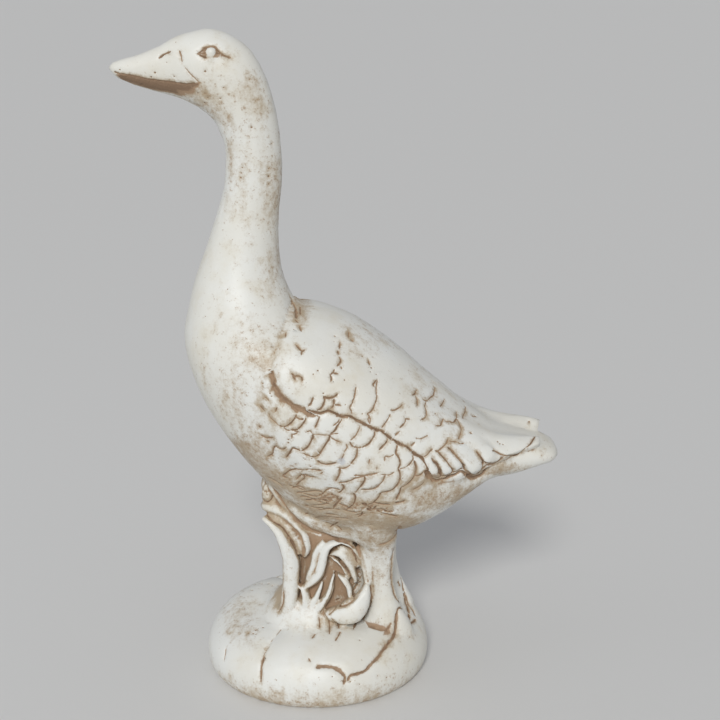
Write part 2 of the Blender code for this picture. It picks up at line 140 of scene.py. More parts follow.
# Leaves from root to tip: x, distance from the middle plane, z and half width.
Leaf = namedtuple("Leaf", "name facing thick path")
MIDDLE_LEAF = Leaf("curled", (-1, 0, 0.5), 8, (
    (0, 0, 112, 26), (-12, 0, 148, 27), (-24, 0, 176, 26), (-38, 0, 196, 23),
    (-49, 0, 208, 19), (-55, 0, 219, 15), (-52, 0, 230, 9)))
SIDE_LEAVES = (
    Leaf("outer blade", (-0.35, -1, 0), 9, (
        (-36, 30, 50, 15), (-33, 32, 72, 12), (-31, 34, 95, 10), (-29, 35, 112, 9.8),
        (-28.5, 36, 127, 9.8), (-28.5, 36, 143, 9.8), (-32, 36, 156, 8.6), (-36, 35, 165, 7),
        (-41, 33, 176, 5.8), (-49, 30, 185, 4.4), (-58, 26, 191, 3))),
    Leaf("front blade", (-1, -0.25, 0), 7, (
        (-33, 8, 50, 12), (-31, 8, 72, 11), (-29, 8, 95, 10), (-28, 8, 120, 10),
        (-29, 8, 143, 10), (-33, 8, 160, 10), (-39, 8, 176, 9), (-46, 8, 190, 7))),
    Leaf("roll of the hood", (-0.2, -1, 0.25), 7, (
        (-57, 14, 200, 5), (-54, 20, 200, 6.4), (-47, 25, 200, 5.8), (-38, 29, 197, 5),
        (-31, 32, 193, 4.4), (-21, 35, 184, 4), (-13, 37, 175, 4), (-10, 38, 165, 3.8),
        (-9, 38, 156, 2.8), (-11, 37, 148, 1.2))),
    Leaf("knob of the hood", (-0.4, -1, 0), 8, (
        (-49, 15, 195, 8), (-50.5, 17, 203, 10), (-51.5, 18, 212, 10), (-52, 18, 220, 8.6),
        (-51, 17, 227, 4.6))),
    Leaf("side of the hood", (-0.1, -1, 0.1), 6, (
        (-50, 22, 193, 4), (-42, 27, 187, 6.4), (-32, 31, 178, 7.4), (-24, 33, 167, 7),
        (-17, 34, 157, 5.6), (-13, 34, 145, 2.6))),
    Leaf("web of the hood", (-0.1, -1, 0.1), 7, (
        (-53, 13, 214, 6), (-44, 17, 206, 8), (-32, 21, 194, 9), (-20, 25, 182, 9),
        (-8, 28, 168, 9), (0, 29, 152, 8))),
    Leaf("belly over the foliage", (-0.35, -1, -0.35), 14, (
        (-48, 20, 240, 9), (-36, 26, 224, 13), (-22, 30, 209, 15), (-6, 33, 197, 16),
        (10, 35, 192, 16), (28, 39, 187, 18), (44, 41, 184, 18),
        (56, 42, 184, 16))),
    Leaf("scroll", (0, -1, 0), 7, (
        (-12, 36, 108, 2.4), (-9, 38, 113, 4.2), (-2, 41, 120, 5.2), (4, 43, 129, 5.4),
        (7, 44, 141, 5.2), (9, 44, 152, 4.8), (13, 44, 162, 4.4), (21, 44, 167, 3.2),
        (30, 43, 168, 2.8), (39, 42, 163, 2.6), (44, 41, 156, 2.4), (49, 40, 146, 1.4))),
    Leaf("rib of the scroll", (0, -1, 0), 6, (
        (-12, 36, 116, 1.8), (-8, 38, 126, 3.2), (-3, 40, 139, 3.6), (-1, 41, 151, 3.6),
        (3, 42, 160, 3.4), (9, 41, 168, 2))),
    Leaf("web of the scroll", (0, -1, 0), 5, (
        (24, 36, 160, 3), (31, 38, 158, 4.6), (38, 38, 152, 5), (43, 38, 144, 4.6),
        (47, 37, 135, 2.5))),
    Leaf("inner scroll", (0, -1, 0), 6, (
        (16, 38, 151, 2.2), (27, 40, 152, 4.4), (34, 40, 144, 4.6), (39, 39, 133, 4.4),
        (43, 38, 122, 3.6), (44, 38, 116, 1.8))),
    Leaf("inner rib", (0, -1, 0), 6.5, (
        (14, 37, 149, 1.2), (23, 40, 144, 1.9), (30, 40, 136, 2), (34, 39, 127, 1.9),
        (37, 38, 120, 1))),
    Leaf("inner blade", (0, -1, 0.1), 7.5, (
        (2, 40, 80, 6), (6, 42, 90, 5), (11, 43, 98, 4.2), (16, 43, 109, 3.4),
        (18, 42, 120, 2.4), (20, 41, 128, 1))),
    Leaf("second blade", (0, -1, 0.1), 6, (
        (-8, 38, 82, 4), (-5, 40, 90, 3.4), (0, 41, 99, 3), (4, 41, 109, 2.4),
        (7, 40, 118, 1))),
    Leaf("hook", (0, -1, 0), 7, (
        (38, 40, 96, 2.8), (38, 41, 102, 3.2), (36, 42, 113, 3.4), (31, 42, 121, 2.8),
        (24, 40, 127, 1.1))),
    Leaf("cup", (0.1, -1, 0.35), 11, (
        (14, 42, 78, 6), (22, 47, 80, 10), (31, 50, 82, 13), (40, 51, 86, 14.5),
        (48, 49, 93, 12), (54, 45, 104, 7.6), (57, 41, 115, 3))),
    Leaf("fillet of the leg", (-0.3, -1, 0), 8, (
        (62, 32, 92, 3), (60, 34, 104, 4.5), (59, 36, 118, 5.5), (58, 37, 132, 7),
        (57, 38, 146, 8.5), (56, 38, 158, 10), (56, 37, 170, 10))),
    Leaf("sprout", (-0.3, -1, 0), 7, (
        (-14, 38, 80, 3), (-12, 39, 90, 4), (-12, 39, 101, 4), (-15, 38, 109, 3.4),
        (-21, 37, 112, 1.6))),
)

# Quills that stand out of the wing, seen from the side: x and z along the middle.
Quill = namedtuple("Quill", "half_width thick path")
QUILLS = (
    Quill(6.0, 2.6, ((118, 290), (123, 279), (130, 266))),
    Quill(6.8, 3.0, ((129, 294), (138, 279), (144, 266))),
    Quill(7.0, 3.2, ((137, 297), (149, 283), (156, 270))),
    Quill(9.0, 4.0, ((147, 300), (160, 285), (170, 273), (175, 263))),
    Quill(9.8, 3.4, ((166, 300), (180, 285), (193, 274))),
)

# Carved lines: half width, depth, how much wash they hold, and their ways, as x and z seen
# from the side.
Lines = namedtuple("Lines", "name half_width depth wash ways")
LINE_WIDTH = 1.15
LINE_DEPTH = 1.1
BROAD_SIDE_LINES = (
    Lines("edge of the shoulder", 5.0, 1.3, 0.25, (
        ((-22, 440), (-28, 426), (-36, 408), (-42, 392), (-43, 382)),)),
    Lines("under the shoulder", 5.0, 3.0, 1.0, (
        ((-43, 384), (-41, 374), (-38, 365), (-32, 357), (-26, 352), (-18, 347), (-11, 343),
         (-5, 341), (0, 338)),)),
    Lines("between the coverts", 1.6, 2.2, 1.0, (
        ((-4, 343), (4, 341), (8, 340), (12, 341), (17, 342.5), (21, 341), (25, 339),
         (31, 336), (36, 336.5), (41, 335), (49, 330), (58, 325), (66, 320.5), (70, 319.5),
         (74, 317), (80, 312), (85, 308.5), (90, 304.5), (98, 300.5), (102, 297), (107, 292),
         (112, 289), (115, 286.5), (117, 282), (119, 278), (120, 273)),)),
    Lines("wide parts of the coverts' edge", 2.1, 1.2, 1.0, (
        ((28, 338), (32, 336), (38, 336)), ((64, 321), (70, 319.5), (75, 316.5)),
        ((83, 310), (90, 304.5), (97, 301), (104, 295)))),
    Lines("under the quills", 3.2, 2.6, 1.0, (
        ((119, 272), (121, 266), (125, 261), (131, 257.5), (137, 257.5), (143, 260),
         (151, 262.5), (158, 265), (164, 259), (170, 253.5), (177, 252.5), (183, 256),
         (186, 263)),)),
    Lines("between wing and tail", 2.0, 1.5, 1.0, (
        ((181, 262), (186, 268), (193, 266), (200, 269), (204, 274)),)),
    Lines("neck and back", 2.0, 1.4, 0.9, (
        ((-26, 441), (-22, 435), (-19, 431), (-18, 426)),)),
    Lines("bill's base", 1.2, 1.1, 0.8, (
        ((-134, 699), (-132, 694), (-131, 688)),)),
    Lines("nostril", 1.5, 1.5, 0.95, (
        ((-155, 692), (-150, 695.5), (-144, 698)),)),
    Lines("mouth", 1.1, 0.9, 1.0, (
        ((-203, 677), (-197, 675.5), (-184, 673.5), (-167, 670), (-151.5, 668.5),
         (-139, 667), (-126, 666), (-118, 667)),)),
    Lines("round the eye", 1.35, 1.3, 1.0, (
        ((-114, 696.5), (-110, 699.5), (-106, 702.5), (-100, 703.8), (-95.5, 702), (-92.5, 698),
         (-88, 695), (-82, 692.5)),
        ((-113, 696), (-109, 693.5), (-106, 692.5)))),
    Lines("side of the brow", 1.6, 1.0, 0.9, (
        ((-113, 697), (-108, 697)), ((-110, 699), (-106, 701)), ((-95, 697), (-91, 696.5)))),
    Lines("gape", 0.9, 0.6, 0.55, (
        ((-128, 683), (-123, 677), (-118, 672), (-114, 668)),)),
    Lines("breast on the foliage", 2.6, 1.6, 0.9, (
        ((-54, 238), (-46, 228), (-35, 210), (-23, 194), (-10, 183), (-4, 178), (7, 175),
         (24, 171.5), (35, 168), (43, 162)),)),
    Lines("hollow beside the blade", 3.2, 0.6, 0.9, (
        ((-13, 160), (-15, 150), (-16, 140), (-17, 125), (-18, 112)),)),
    Lines("foliage beside the leg", 1.8, 1.4, 0.9, (
        ((61, 113), (62, 108), (62, 100), (60, 85), (57, 77), (51, 70), (42, 66)),)),
    Lines("slope in front of the leg", 3.4, 0.7, 0.42, (
        ((46, 164), (50, 152), (53, 142), (56, 130), (59, 118)),)),
    Lines("collar of the leg", 1.5, 0.7, 0.8, (
        ((92, 179), (86, 175), (78, 171.5), (70, 171)),)),
    Lines("behind the thigh", 3.2, 1.0, 0.7, (((93, 196), (92, 186), (92, 176), (92, 168)),)),
    Lines("between the legs", 1.5, 1.0, 0.9, (
        ((88, 158), (86, 149), (85, 134), (85, 120), (87, 106), (90, 96), (95, 86), (98, 78)),)),
    Lines("foot of the blade", 1.8, 1.2, 1.0, (
        ((-38, 104), (-38, 96), (-39, 88), (-44, 76)),)),
    Lines("under the cup", 1.2, 1.4, 0.9, (
        ((20, 73), (26, 71), (33, 71), (42, 72), (50, 75), (57, 81), (60, 90)),)),
)
FINE_SIDE_LINES = (
    Lines("short scales", 1.1, 1.3, 1.0, (
        ((-3.5, 348), (-0.5, 351.5), (1.5, 357)),
        ((5, 342.5), (9, 344.5), (11.5, 348.5), (13, 354), (12, 357)),
        ((12, 357), (16, 355.5), (20, 355.5), (23.5, 357), (26.5, 359)),
        ((17, 341.5), (20.5, 345.5), (22.5, 349), (22.5, 354)),
        ((-32.5, 350), (-31, 352), (-27, 352.5)))),
    Lines("first row", 1.05, 1.3, 1.0, (
        ((-16, 339.5), (-17, 336), (-19.5, 332.5), (-22.5, 329), (-26, 326.5), (-30, 325),
         (-33.5, 326)),
        ((-6, 338), (-6.5, 334.5), (-8.5, 330.5), (-12, 326), (-15, 323), (-18, 322),
         (-22, 322)),
        ((7.5, 338), (7, 334.5), (5, 329.5), (3, 325)), ((-19, 321), (-13.5, 320)),
        ((31, 334), (29, 330.5), (26, 326.5), (23.5, 322), (19, 318)),
        ((65, 320), (64.5, 315), (62, 311), (59, 307), (56, 305), (52, 303)),
        ((79, 311), (76.5, 306.5), (73.5, 303.5), (70, 300)),
        ((89, 304), (87.5, 298), (87, 294.5), (90, 290), (91.5, 285), (91, 281.5),
         (89.5, 278)),
        ((105.5, 292), (105, 287), (103, 283.5), (100, 280.5)),
        ((118.5, 274), (115, 270), (110, 268), (106.5, 269.5)))),
    Lines("second row", 1.2, 1.3, 1.0, (
        ((0.5, 318), (0.5, 314), (-1, 311), (-3, 307), (-6, 302.5), (-11, 299)),
        ((-13, 299), (-17, 300.5), (-21, 301), (-23.5, 296.5), (-28, 288.5)),
        ((18, 317), (18, 314), (15.5, 309.5), (12, 304), (7, 295.5)),
        ((5.5, 288), (8.5, 285.5), (13.5, 284.5), (18.5, 285), (24, 286.5)),
        ((46.5, 301.5), (46.5, 297.5), (45, 292.5), (42.5, 289), (40, 285.5)),
        ((106, 285), (108.5, 276.5), (107, 269), (103.5, 263), (99, 258), (92.5, 254.5)))),
    Lines("third row", 1.1, 1.2, 1.0, (
        ((28.5, 279.5), (28, 274.5), (26.5, 270), (24, 264.5)),
        ((28, 262.5), (33, 263), (38.5, 265), (43.5, 268), (48, 269.5), (54.5, 271)),
        ((54.5, 271), (54, 265.5), (51.5, 260), (48, 255), (44.5, 249)),
        ((76, 272), (73.5, 265), (70, 260), (66, 256), (60.5, 254), (55.5, 253.5),
         (50, 254)),
        ((89.5, 278), (91.5, 271.5), (91, 264), (88, 257.5), (83.5, 252.5), (78, 250),
         (71.5, 249)),
        ((-19, 251.5), (-14, 258.5), (-9.5, 263.5), (-10.5, 268)),
        ((-9, 268.5), (-4.5, 267), (3, 267)))),
    Lines("fourth row", 1.2, 1.3, 1.0, (
        ((71.5, 249), (69.5, 243.5), (66, 239), (63, 235.5)),
        ((92.5, 254.5), (91.5, 248.5), (88, 239.5)),
        ((30.5, 260), (32, 255.5), (30, 251), (27, 248)),
        ((42.5, 248), (44.5, 242.5), (42.5, 234), (36.5, 227.5)),
        ((29.5, 241), (24, 231.5), (20.5, 225.5)),
        ((51.5, 235), (58, 234), (65, 236), (70.5, 234.5), (80.5, 233)),
        ((57.5, 227.5), (61.5, 225), (66.5, 231.5)),
        ((66.5, 225.5), (75, 221), (83, 218), (89.5, 215.5)),
        ((87, 235), (91.5, 235), (97, 237)), ((51.5, 223.5), (51.5, 219), (48, 215.5)))),
    Lines("thin ends", 0.7, 0.8, 0.75, (
        ((23, 348.5), (26, 348), (29.5, 347)), ((0, 318.5), (-2, 321.5), (-6.5, 320)),
        ((0.5, 318), (5, 317.5), (12, 317), (17.5, 317), (22, 318.5), (27, 318.5)),
        ((18.5, 314.5), (21.5, 313), (25, 311), (29.5, 309)),
        ((49, 328), (49, 324), (47, 319.5), (44.5, 315.5), (40, 311.5)),
        ((35, 307), (36, 303.5), (33.5, 299.5), (32, 295), (30.5, 291)),
        ((51, 303), (47, 302.5), (43, 304)), ((-9, 295.5), (-5.5, 294.5), (-2, 293.5)),
        ((59.5, 290), (58.5, 284.5)), ((67, 281), (67, 278)), ((75.5, 293), (75, 287.5)),
        ((75.5, 292.5), (80, 291.5), (84.5, 293.5)),
        ((100, 280.5), (96, 278.5), (90.5, 277.5)),
        ((84.5, 274), (79.5, 271.5), (71.5, 272.5)),
        ((26, 281), (31.5, 280), (36.5, 282), (39.5, 284.5)),
        ((54.5, 271), (59.5, 271.5), (69, 275)), ((-13, 272), (-8, 275.5)),
        ((8, 272), (10, 274.5)), ((117, 259.5), (114.5, 256), (110.5, 253), (105, 250.5)),
        ((153.5, 297), (157, 295.5), (160.5, 295)),
        ((107.5, 308), (112.5, 306.5), (117.5, 307.5), (121, 308.5)),
        ((-45, 339), (-44, 334.5), (-39.5, 330.5), (-35, 326.5)))),
    Lines("coverts", 0.95, 1.1, 0.9, (
        ((44, 355), (42.5, 352), (41.5, 349), (39, 344.5), (40.5, 341), (40.5, 336.5)),
        ((67, 354), (67, 351), (65, 346), (63, 342), (60, 338.5), (57.5, 337.5), (59, 334.5),
         (60, 331.5), (59.5, 326)),
        ((81, 338.5), (84.5, 337.5), (87.5, 338), (92, 339.5), (94, 341)),
        ((81, 334), (79.5, 331.5), (78, 329), (75, 325.5), (72, 322)),
        ((102.5, 326.5), (97.5, 327.5), (97, 325), (94, 322), (91.5, 320)),
        ((91, 316.5), (88, 314.5), (86, 312.5)), ((105.5, 346), (108, 346), (110, 348)),
        ((109, 344), (110.5, 340.5), (110, 336.5)), ((107, 304), (104.5, 301.5), (102, 300)),
        ((117, 339.5), (120, 337.5), (123.5, 337.5), (126.5, 338), (129.5, 338.5),
         (131, 342)),
        ((120, 336.5), (118.5, 334), (120, 331), (120, 328), (118.5, 325), (113.5, 324)),
        ((136, 328.5), (138.5, 329), (141.5, 331)),
        ((130, 316), (134.5, 315), (136.5, 317), (138.5, 320)),
        ((138.5, 320), (141.5, 317), (145.5, 316), (149.5, 314.5), (153.5, 315.5),
         (154.5, 318)),
        ((153.5, 316), (156.5, 311.5), (158, 307.5), (157, 303.5), (154.5, 300)),
        ((144.5, 300), (148, 299), (152, 298)),
        ((161, 312.5), (163.5, 313), (166, 314), (167, 316.5)), ((173, 308), (178, 305.5)),
        ((167.5, 302.5), (170, 301.5)),
        ((114.5, 287.5), (118.5, 289), (122.5, 292), (125.5, 294.5)),
        ((128.5, 293), (131.5, 292), (134.5, 294), (139, 297), (141.5, 299),
         (143, 301.5)))),
    Lines("between the quills", 1.35, 1.9, 1.0, (
        ((125.5, 285.5), (127.5, 282.5), (130.5, 279), (132.5, 275), (134, 269), (135.5, 264)),
        ((132.5, 291), (137, 286), (141, 281.5), (144, 277.5), (147, 273), (148, 268),
         (145, 265), (140, 263.5), (135.5, 263.5)),
        ((143, 294.5), (147, 290.5), (152, 285), (156.5, 280), (159, 275.5), (159.5, 271.5),
         (156, 268), (151, 266.5), (148, 267)),
        ((174.5, 285), (178.5, 280), (181, 275), (181, 269), (179.5, 263), (176, 257),
         (171.5, 256.5), (166, 261.5), (161, 268), (159.5, 272)),
        ((120, 273.5), (122.5, 267), (127.5, 262.5), (132.5, 261.5), (135.5, 263.5)))),
    Lines("wing tip", 1.1, 1.4, 1.0, (
        ((242.5, 287), (240, 286), (235.5, 283.5), (230.5, 280.5), (224.5, 274.5),
         (218, 271.5), (211.5, 274), (205.5, 276), (201.5, 278), (195, 282), (192, 284)),
        ((202.5, 276), (201.5, 272), (198, 269.5), (192.5, 268.5), (187.5, 270),
         (182, 273.5), (179, 278), (175.5, 283)))),
    Lines("marks on the shoulder", 1.1, 1.0, 1.0, (
        ((-17, 406.5), (-13.5, 403.5), (-11, 401), (-11, 398)), ((-7.5, 402), (-11, 400.5)),
        ((-20.5, 380.5), (-17.5, 378), (-15, 378.5), (-10.5, 376.5), (-10, 373.5)),
        ((-19.5, 379), (-17, 374.5)), ((28.5, 403.5), (28, 399)), ((26.5, 397), (27, 394.5)),
        ((28.5, 391.5), (29.5, 388), (26, 385)), ((30, 384), (30.5, 382)),
        ((18, 379), (20, 375), (19.5, 372)), ((23, 382.5), (22.5, 379.5), (26.5, 378)),
        ((18.5, 378), (22.5, 380)), ((37.5, 409.5), (37.5, 406)), ((39.5, 404), (42.5, 402)),
        ((58.5, 383.5), (59.5, 380.5)), ((67.5, 367), (63.5, 364), (64.5, 361.5)),
        ((-15, 431), (-14, 427.5)), ((-18.5, 424.5), (-16, 423)), ((-14, 420.5), (-12, 416.5)),
        ((-28, 417), (-28.5, 413.5)), ((-32, 415.5), (-32.5, 413)))),
    Lines("marks in front", 0.9, 0.9, 0.9, (
        ((-49, 355.5), (-47, 355), (-44.5, 352.5)), ((-54, 344.5), (-52, 342.5), (-49.5, 340.5)),
        ((-56.5, 321), (-54.5, 320)), ((-51, 308.5), (-47, 308.5), (-42, 310.5)),
        ((-49, 304.5), (-46, 304.5)), ((-41.5, 298.5), (-39, 300.5), (-36, 300.5)),
        ((-48.5, 284.5), (-45, 288), (-42, 287)), ((-21, 318.5), (-21.5, 313)),
        ((-38, 341.5), (-36, 346)))),
    Lines("strokes on the belly", 1.2, 1.2, 0.95, (
        ((-14.5, 236), (-9.5, 237.5), (-4, 236.5), (2, 233.5), (11, 232.5)),
        ((-11.5, 242), (-5.5, 240.5), (0, 240), (5.5, 242), (11.5, 247.5), (14.5, 252)),
        ((-4, 222.5), (2.5, 222), (10, 224)), ((1.5, 202.5), (7, 206.5), (18.5, 211)),
        ((-10, 221.5), (-7, 223.5)), ((-23, 247), (-15.5, 251), (-9, 248)),
        ((20.5, 226.5), (24, 233.5), (28, 237.5)), ((16, 188), (20.5, 193), (25.5, 202)),
        ((-33.5, 261), (-28, 260.5)),
        ((-18, 241), (-8, 245), (3, 248), (10, 247)), ((-18, 260.5), (-13, 267), (-6, 269)),
        ((-9, 231.5), (2, 236), (15, 236)), ((-3, 225), (7.5, 228.5), (15, 232)),
        ((5, 219), (16, 224), (27, 224.5)), ((12.5, 214.5), (20, 215), (26, 215)),
        ((-10.5, 202.5), (-3, 205.5), (3, 203.5)), ((0, 199), (8.5, 203.5), (16, 207)),
        ((12, 194), (21, 194), (29, 186)), ((23, 210.5), (36, 211)),
        ((-33, 262), (-25, 271), (-18, 274)), ((-26, 249.5), (-17, 248), (-10, 246.5)),
        ((27, 233.5), (34, 230), (42, 228)), ((31.5, 225), (38, 223), (45, 222)),
        ((52, 234.5), (59, 230.5), (61, 226)), ((62.5, 226), (71.5, 227), (78.5, 223.5)),
        ((46.5, 218.5), (54, 221)), ((13.5, 250.5), (19, 253.5), (27.5, 252.5)),
        ((-2, 277), (8.5, 276.5)), ((18.5, 245.5), (24, 243), (27, 236.5)),
        ((-28.5, 217.5), (-21, 216), (-15.5, 211.5)),
        ((-50.5, 252.5), (-41, 250), (-34, 244)))),
    Lines("stroke on the mound's flank", 0.9, 1.1, 0.85, (
        ((-103, 43), (-103.5, 38), (-104.5, 33)),)),
    Lines("joining the scales", 0.9, 1.1, 0.85, (
        ((39, 309), (42, 304.5), (47.5, 303), (53.5, 303.5)),
        ((-10, 296), (-4, 293.5), (2, 292.5), (7, 295.5)),
        ((-28, 301), (-31.5, 298), (-36.5, 298.5), (-40, 300)),
        ((-54.5, 310.5), (-48.5, 309), (-42, 310.5)),
        ((-48.5, 285), (-43, 289.5), (-42, 296), (-40, 299)),
        ((-20, 274.5), (-11.5, 274.5), (-4, 277)), ((-12, 266), (-2, 267)),
        ((68, 366.5), (66.5, 361), (66.5, 353.5)), ((45.5, 364), (44.5, 359), (43.5, 354)),
        ((44, 272), (53.5, 271.5), (65.5, 274)), ((2.5, 339), (7.5, 337.5), (11, 340.5)),
        ((59.5, 336), (58, 331.5), (59.5, 326)), ((22.5, 348.5), (28.5, 348)),
        ((-17, 336), (-12, 334), (-8, 334.5)), ((-30, 325), (-27, 322), (-23, 321)),
        ((-15, 323), (-16, 319), (-20, 317)), ((29, 336), (27, 331), (22, 327)))),
    Lines("folds of the foliage", 1.2, 1.4, 1.0, (
        ((30, 163), (23, 161), (17, 156), (13.5, 149), (12, 140), (9.5, 130), (4, 121),
         (-3, 114), (-10, 108)),
        ((22, 127), (20, 119), (18, 108), (14, 98), (9, 88), (5, 82)),
        ((15, 149), (22, 148), (29, 141), (35, 133), (38, 125), (41, 117)),
        ((14, 83), (22, 91), (32, 95.5), (41, 101), (47, 110)),
        ((30, 163.5), (38, 159), (43, 151), (47, 141)),
        ((-56, 194), (-47, 188), (-37, 181), (-29, 169), (-23, 157), (-18, 141), (-18, 124)),
        ((-62, 208), (-55, 207.5), (-50, 211), (-48, 216)))),
    Lines("toes under the foliage", 1.0, 1.0, 0.9, (
        ((3, 77), (4, 72), (4, 68)), ((8, 83), (12, 77), (15, 70), (15, 66)),
        ((17, 79), (22, 72), (25, 67)))),
)
PITS = (
    (12, 360.5), (6, 382.5), (33.5, 371.5), (-51, 369.5), (-51, 366), (-43.5, 360.5),
    (-41.5, 357.5), (-25, 311), (-25, 307.5), (-42, 294.5), (-42, 291), (-8, 289),
    (-9.5, 290.5), (-1, 290.5), (-18.5, 281.5), (-21.5, 277.5), (-2.5, 280.5),
    (-21.5, 273.5), (-42.5, 256.5), (130, 325.5), (23, 409), (52, 388.5), (61.5, 377.5),
    (60.5, 374.5), (66.5, 371.5), (-32, 410), (60.5, 202.5), (81, 223.5), (198.5, 289),
    (201, 287), (204.5, 286), (-116, 657), (-108.5, 657), (-106, 652.5), (-93, 652),
    (-110, 646.5), (-89, 663), (-62, 623), (-42, 605.5), (-197, 679.5), (-140, 673.5),
    (-160, 677), (-164.5, 672.5), (-107, 679), (-73, 581.5), (-74, 576), (-74.5, 571),
    (-45.5, 580), (-45.5, 572), (-45.5, 564),
)
# The same on the mound and feet, as x and distance from the middle plane, seen from above.
BROAD_TOP_LINES = (
    Lines("foot's rear edge", 2.3, 1.8, 1.0, (
        ((107, -1), (106, -12), (99, -29), (92, -41), (87, -54), (81, -66), (75, -77),
         (69, -87), (62, -95), (55, -102), (47, -106), (41, -109), (36, -112)),)),
    Lines("foot's front edge", 2.4, 1.4, 0.1, (
        ((-40, -51), (-47, -65), (-55, -80), (-58, -89)),)),
    Lines("toe tip", 1.8, 1.6, 1.0, (((-57, -90), (-59, -95), (-60, -100), (-60, -105)),)),
    Lines("web's edge", 2.5, 1.6, 1.0, (
        ((3, -109), (7, -108), (13, -108), (21, -108), (28, -110), (33, -112), (32, -114)),)),
    Lines("behind the ankle", 1.5, 1.4, 1.0, (
        ((103, -22), (107, -18), (112, -11), (115, -3)),)),
    Lines("in front of the ankle", 3.0, 0.7, 1.0, (
        ((60, -46), (67, -50), (75, -50), (84, -46)),)),
)
FINE_TOP_LINES = (
    Lines("lines on the mound", 1.0, 1.0, 0.9, (
        ((27, -62), (25, -69), (22, -77)), ((-1, -67), (-4, -74)), ((-7, -101), (-5, -104)),
        ((-52, -77), (-55, -84)), ((1, -109), (3, -109)))),
)
MOUND_PITS = ((49, -73), (79, -94), (69, -99), (39, -112), (49, -110), (19, -114), (-80, -34),
              (-69, -49), (-72, -54), (-77, -52), (-61, -46), (-56, -38))

# Soft stains, and painted shade where noted: what they are, then x, z, half sizes along both,
# and strength.
TAN_STAINS_AND_SHADE = (
    # On the head and neck; the long strip at the neck's back edge is painted shade of its shaded
    # side.
    (-60, 540, 40, 120, 0.26), (-62, 662, 18, 32, 0.65), (-50, 640, 18, 34, 0.5),
    (-40, 560, 16, 70, 0.62), (-38, 470, 26, 44, 0.55), (-98, 585, 7, 60, 0.4),
    (-76, 690, 16, 12, 0.35), (-110, 655, 16, 10, 0.5), (-88, 600, 60, 120, 0.38),
    (-83, 578, 4, 26, 0.7), (-45, 572, 3, 12, 0.7), (-80, 629, 9, 10, 0.95),
    (-100, 686, 40, 26, 0.2),
    # On the breast and shoulder.
    (-57, 398, 28, 30, 0.7), (-100, 436, 22, 8, 0.5), (-66, 350, 24, 30, 0.4),
    (-80, 400, 50, 80, 0.3), (-14, 430, 16, 14, 0.7), (-66, 276, 28, 40, 0.75),
    (-40, 250, 26, 24, 0.7), (-60, 380, 60, 70, 0.5),
    # On the wing, back and tail.
    (38, 408, 9, 9, 0.7), (254, 270, 8, 7, 0.6), (128, 262, 20, 9, 0.9),
    (205, 258, 34, 9, 0.75), (150, 305, 14, 12, 0.6), (80, 400, 70, 20, 0.5),
    (120, 355, 50, 30, 0.35), (150, 330, 50, 30, 0.3), (172, 280, 7, 12, 0.7),
    (140, 282, 22, 13, 0.4), (30, 300, 130, 60, 0.12),
    # On the belly: tan stain, and painted shade where the belly turns under.
    (140, 236, 50, 18, 0.9), (105, 262, 16, 22, 0.5), (20, 214, 80, 24, 0.68),
    (84, 198, 44, 24, 0.8), (0, 238, 38, 17, 0.7), (60, 232, 44, 13, 0.6),
    # On the legs and the foliage.
    (70, 172, 34, 18, 0.62), (10, 186, 60, 14, 0.6), (-22, 170, 16, 30, 0.5),
    (40, 146, 14, 24, 0.6), (-2, 140, 8, 30, 0.35), (-36, 202, 24, 20, 0.5),
    (80, 130, 20, 40, 0.35), (0, 120, 70, 60, 0.22), (74, 130, 14, 40, 0.45),
    # On the mound: the two widest make its foot darker towards the bottom.
    (-8, 30, 6, 22, 0.6), (-100, 58, 44, 14, 0.55), (0, 4, 150, 8, 0.75),
    (100, 40, 40, 30, 0.3), (0, 14, 150, 20, 0.52),
)
WASH_STAINS_AND_SHADE = (
    # On the belly and thigh, and under the wing and tail: wash, and painted shade under the
    # overhangs and in the hollow behind the thigh.
    (-14, 240, 10, 9, 0.7), (16, 244, 14, 9, 0.8), (33, 250, 9, 7, 0.6),
    (46, 246, 6, 8, 0.5), (84, 214, 26, 10, 0.7), (92, 190, 8, 10, 0.7),
    (136, 256, 16, 4, 0.9), (187, 268, 7, 4, 1.0), (206, 271, 10, 4, 0.4),
    # In the foliage.
    (-55, 222, 5, 8, 0.5), (24, 136, 5, 7, 0.6), (28, 106, 5, 14, 0.8),
    (-14, 136, 3, 24, 1.0), (-39, 92, 3, 13, 0.9), (-24, 97, 4, 7, 1.1),
)
# On the mound, as x and distance from the middle plane, seen from above.
MOUND_STAINS = ((60, -46, 7, 4, 0.9), (70, -50, 8, 5, 0.9), (80, -50, 6, 4, 0.9))
MOUND_STAINS_TOP = 77
ROUGH_PATCHES = (
    (16, 240, 18, 11, 1.0), (50, 229, 26, 9, 1.0), (76, 224, 18, 8, 0.8),
    (-30, 258, 14, 14, 0.5), (-26, 172, 10, 16, 0.7), (-55, 221, 8, 9, 0.9),
    (46, 116, 7, 12, 0.8), (8, 90, 8, 12, 0.5), (22, 142, 6, 8, 0.7), (-20, 300, 30, 20, 0.15),
)
GREY_STAIN = (30, 288, 6, 5, 1.0)

# Washed areas with an outline in x and z, seen from the side: strength, softness, outline.
# They are the lower bill, whose wash is made darker as painted shade, the rim of the eye
# and the nostril.
WASH_AND_SHADE_AREAS = (
    (1.6, 2.6, ((-199, 676), (-190, 675), (-184, 674), (-167, 670.5), (-151, 669),
                (-133, 667), (-120, 667), (-113, 668), (-117, 662), (-129, 657.5),
                (-144, 656.5), (-168, 660), (-191, 667), (-200, 670))),
    (1.0, 0.8, ((-115, 696.5), (-111, 699.5), (-106, 703.5), (-100, 704.3), (-95, 702.5),
                (-92, 698.5), (-88, 696), (-82, 692.5), (-88, 693), (-93.5, 694.5),
                (-97, 693), (-105, 694), (-108, 692.5), (-112, 693.5))),
    (0.8, 0.8, ((-155, 692), (-152, 696), (-144, 699.5), (-144, 696.5), (-149, 694))),
)
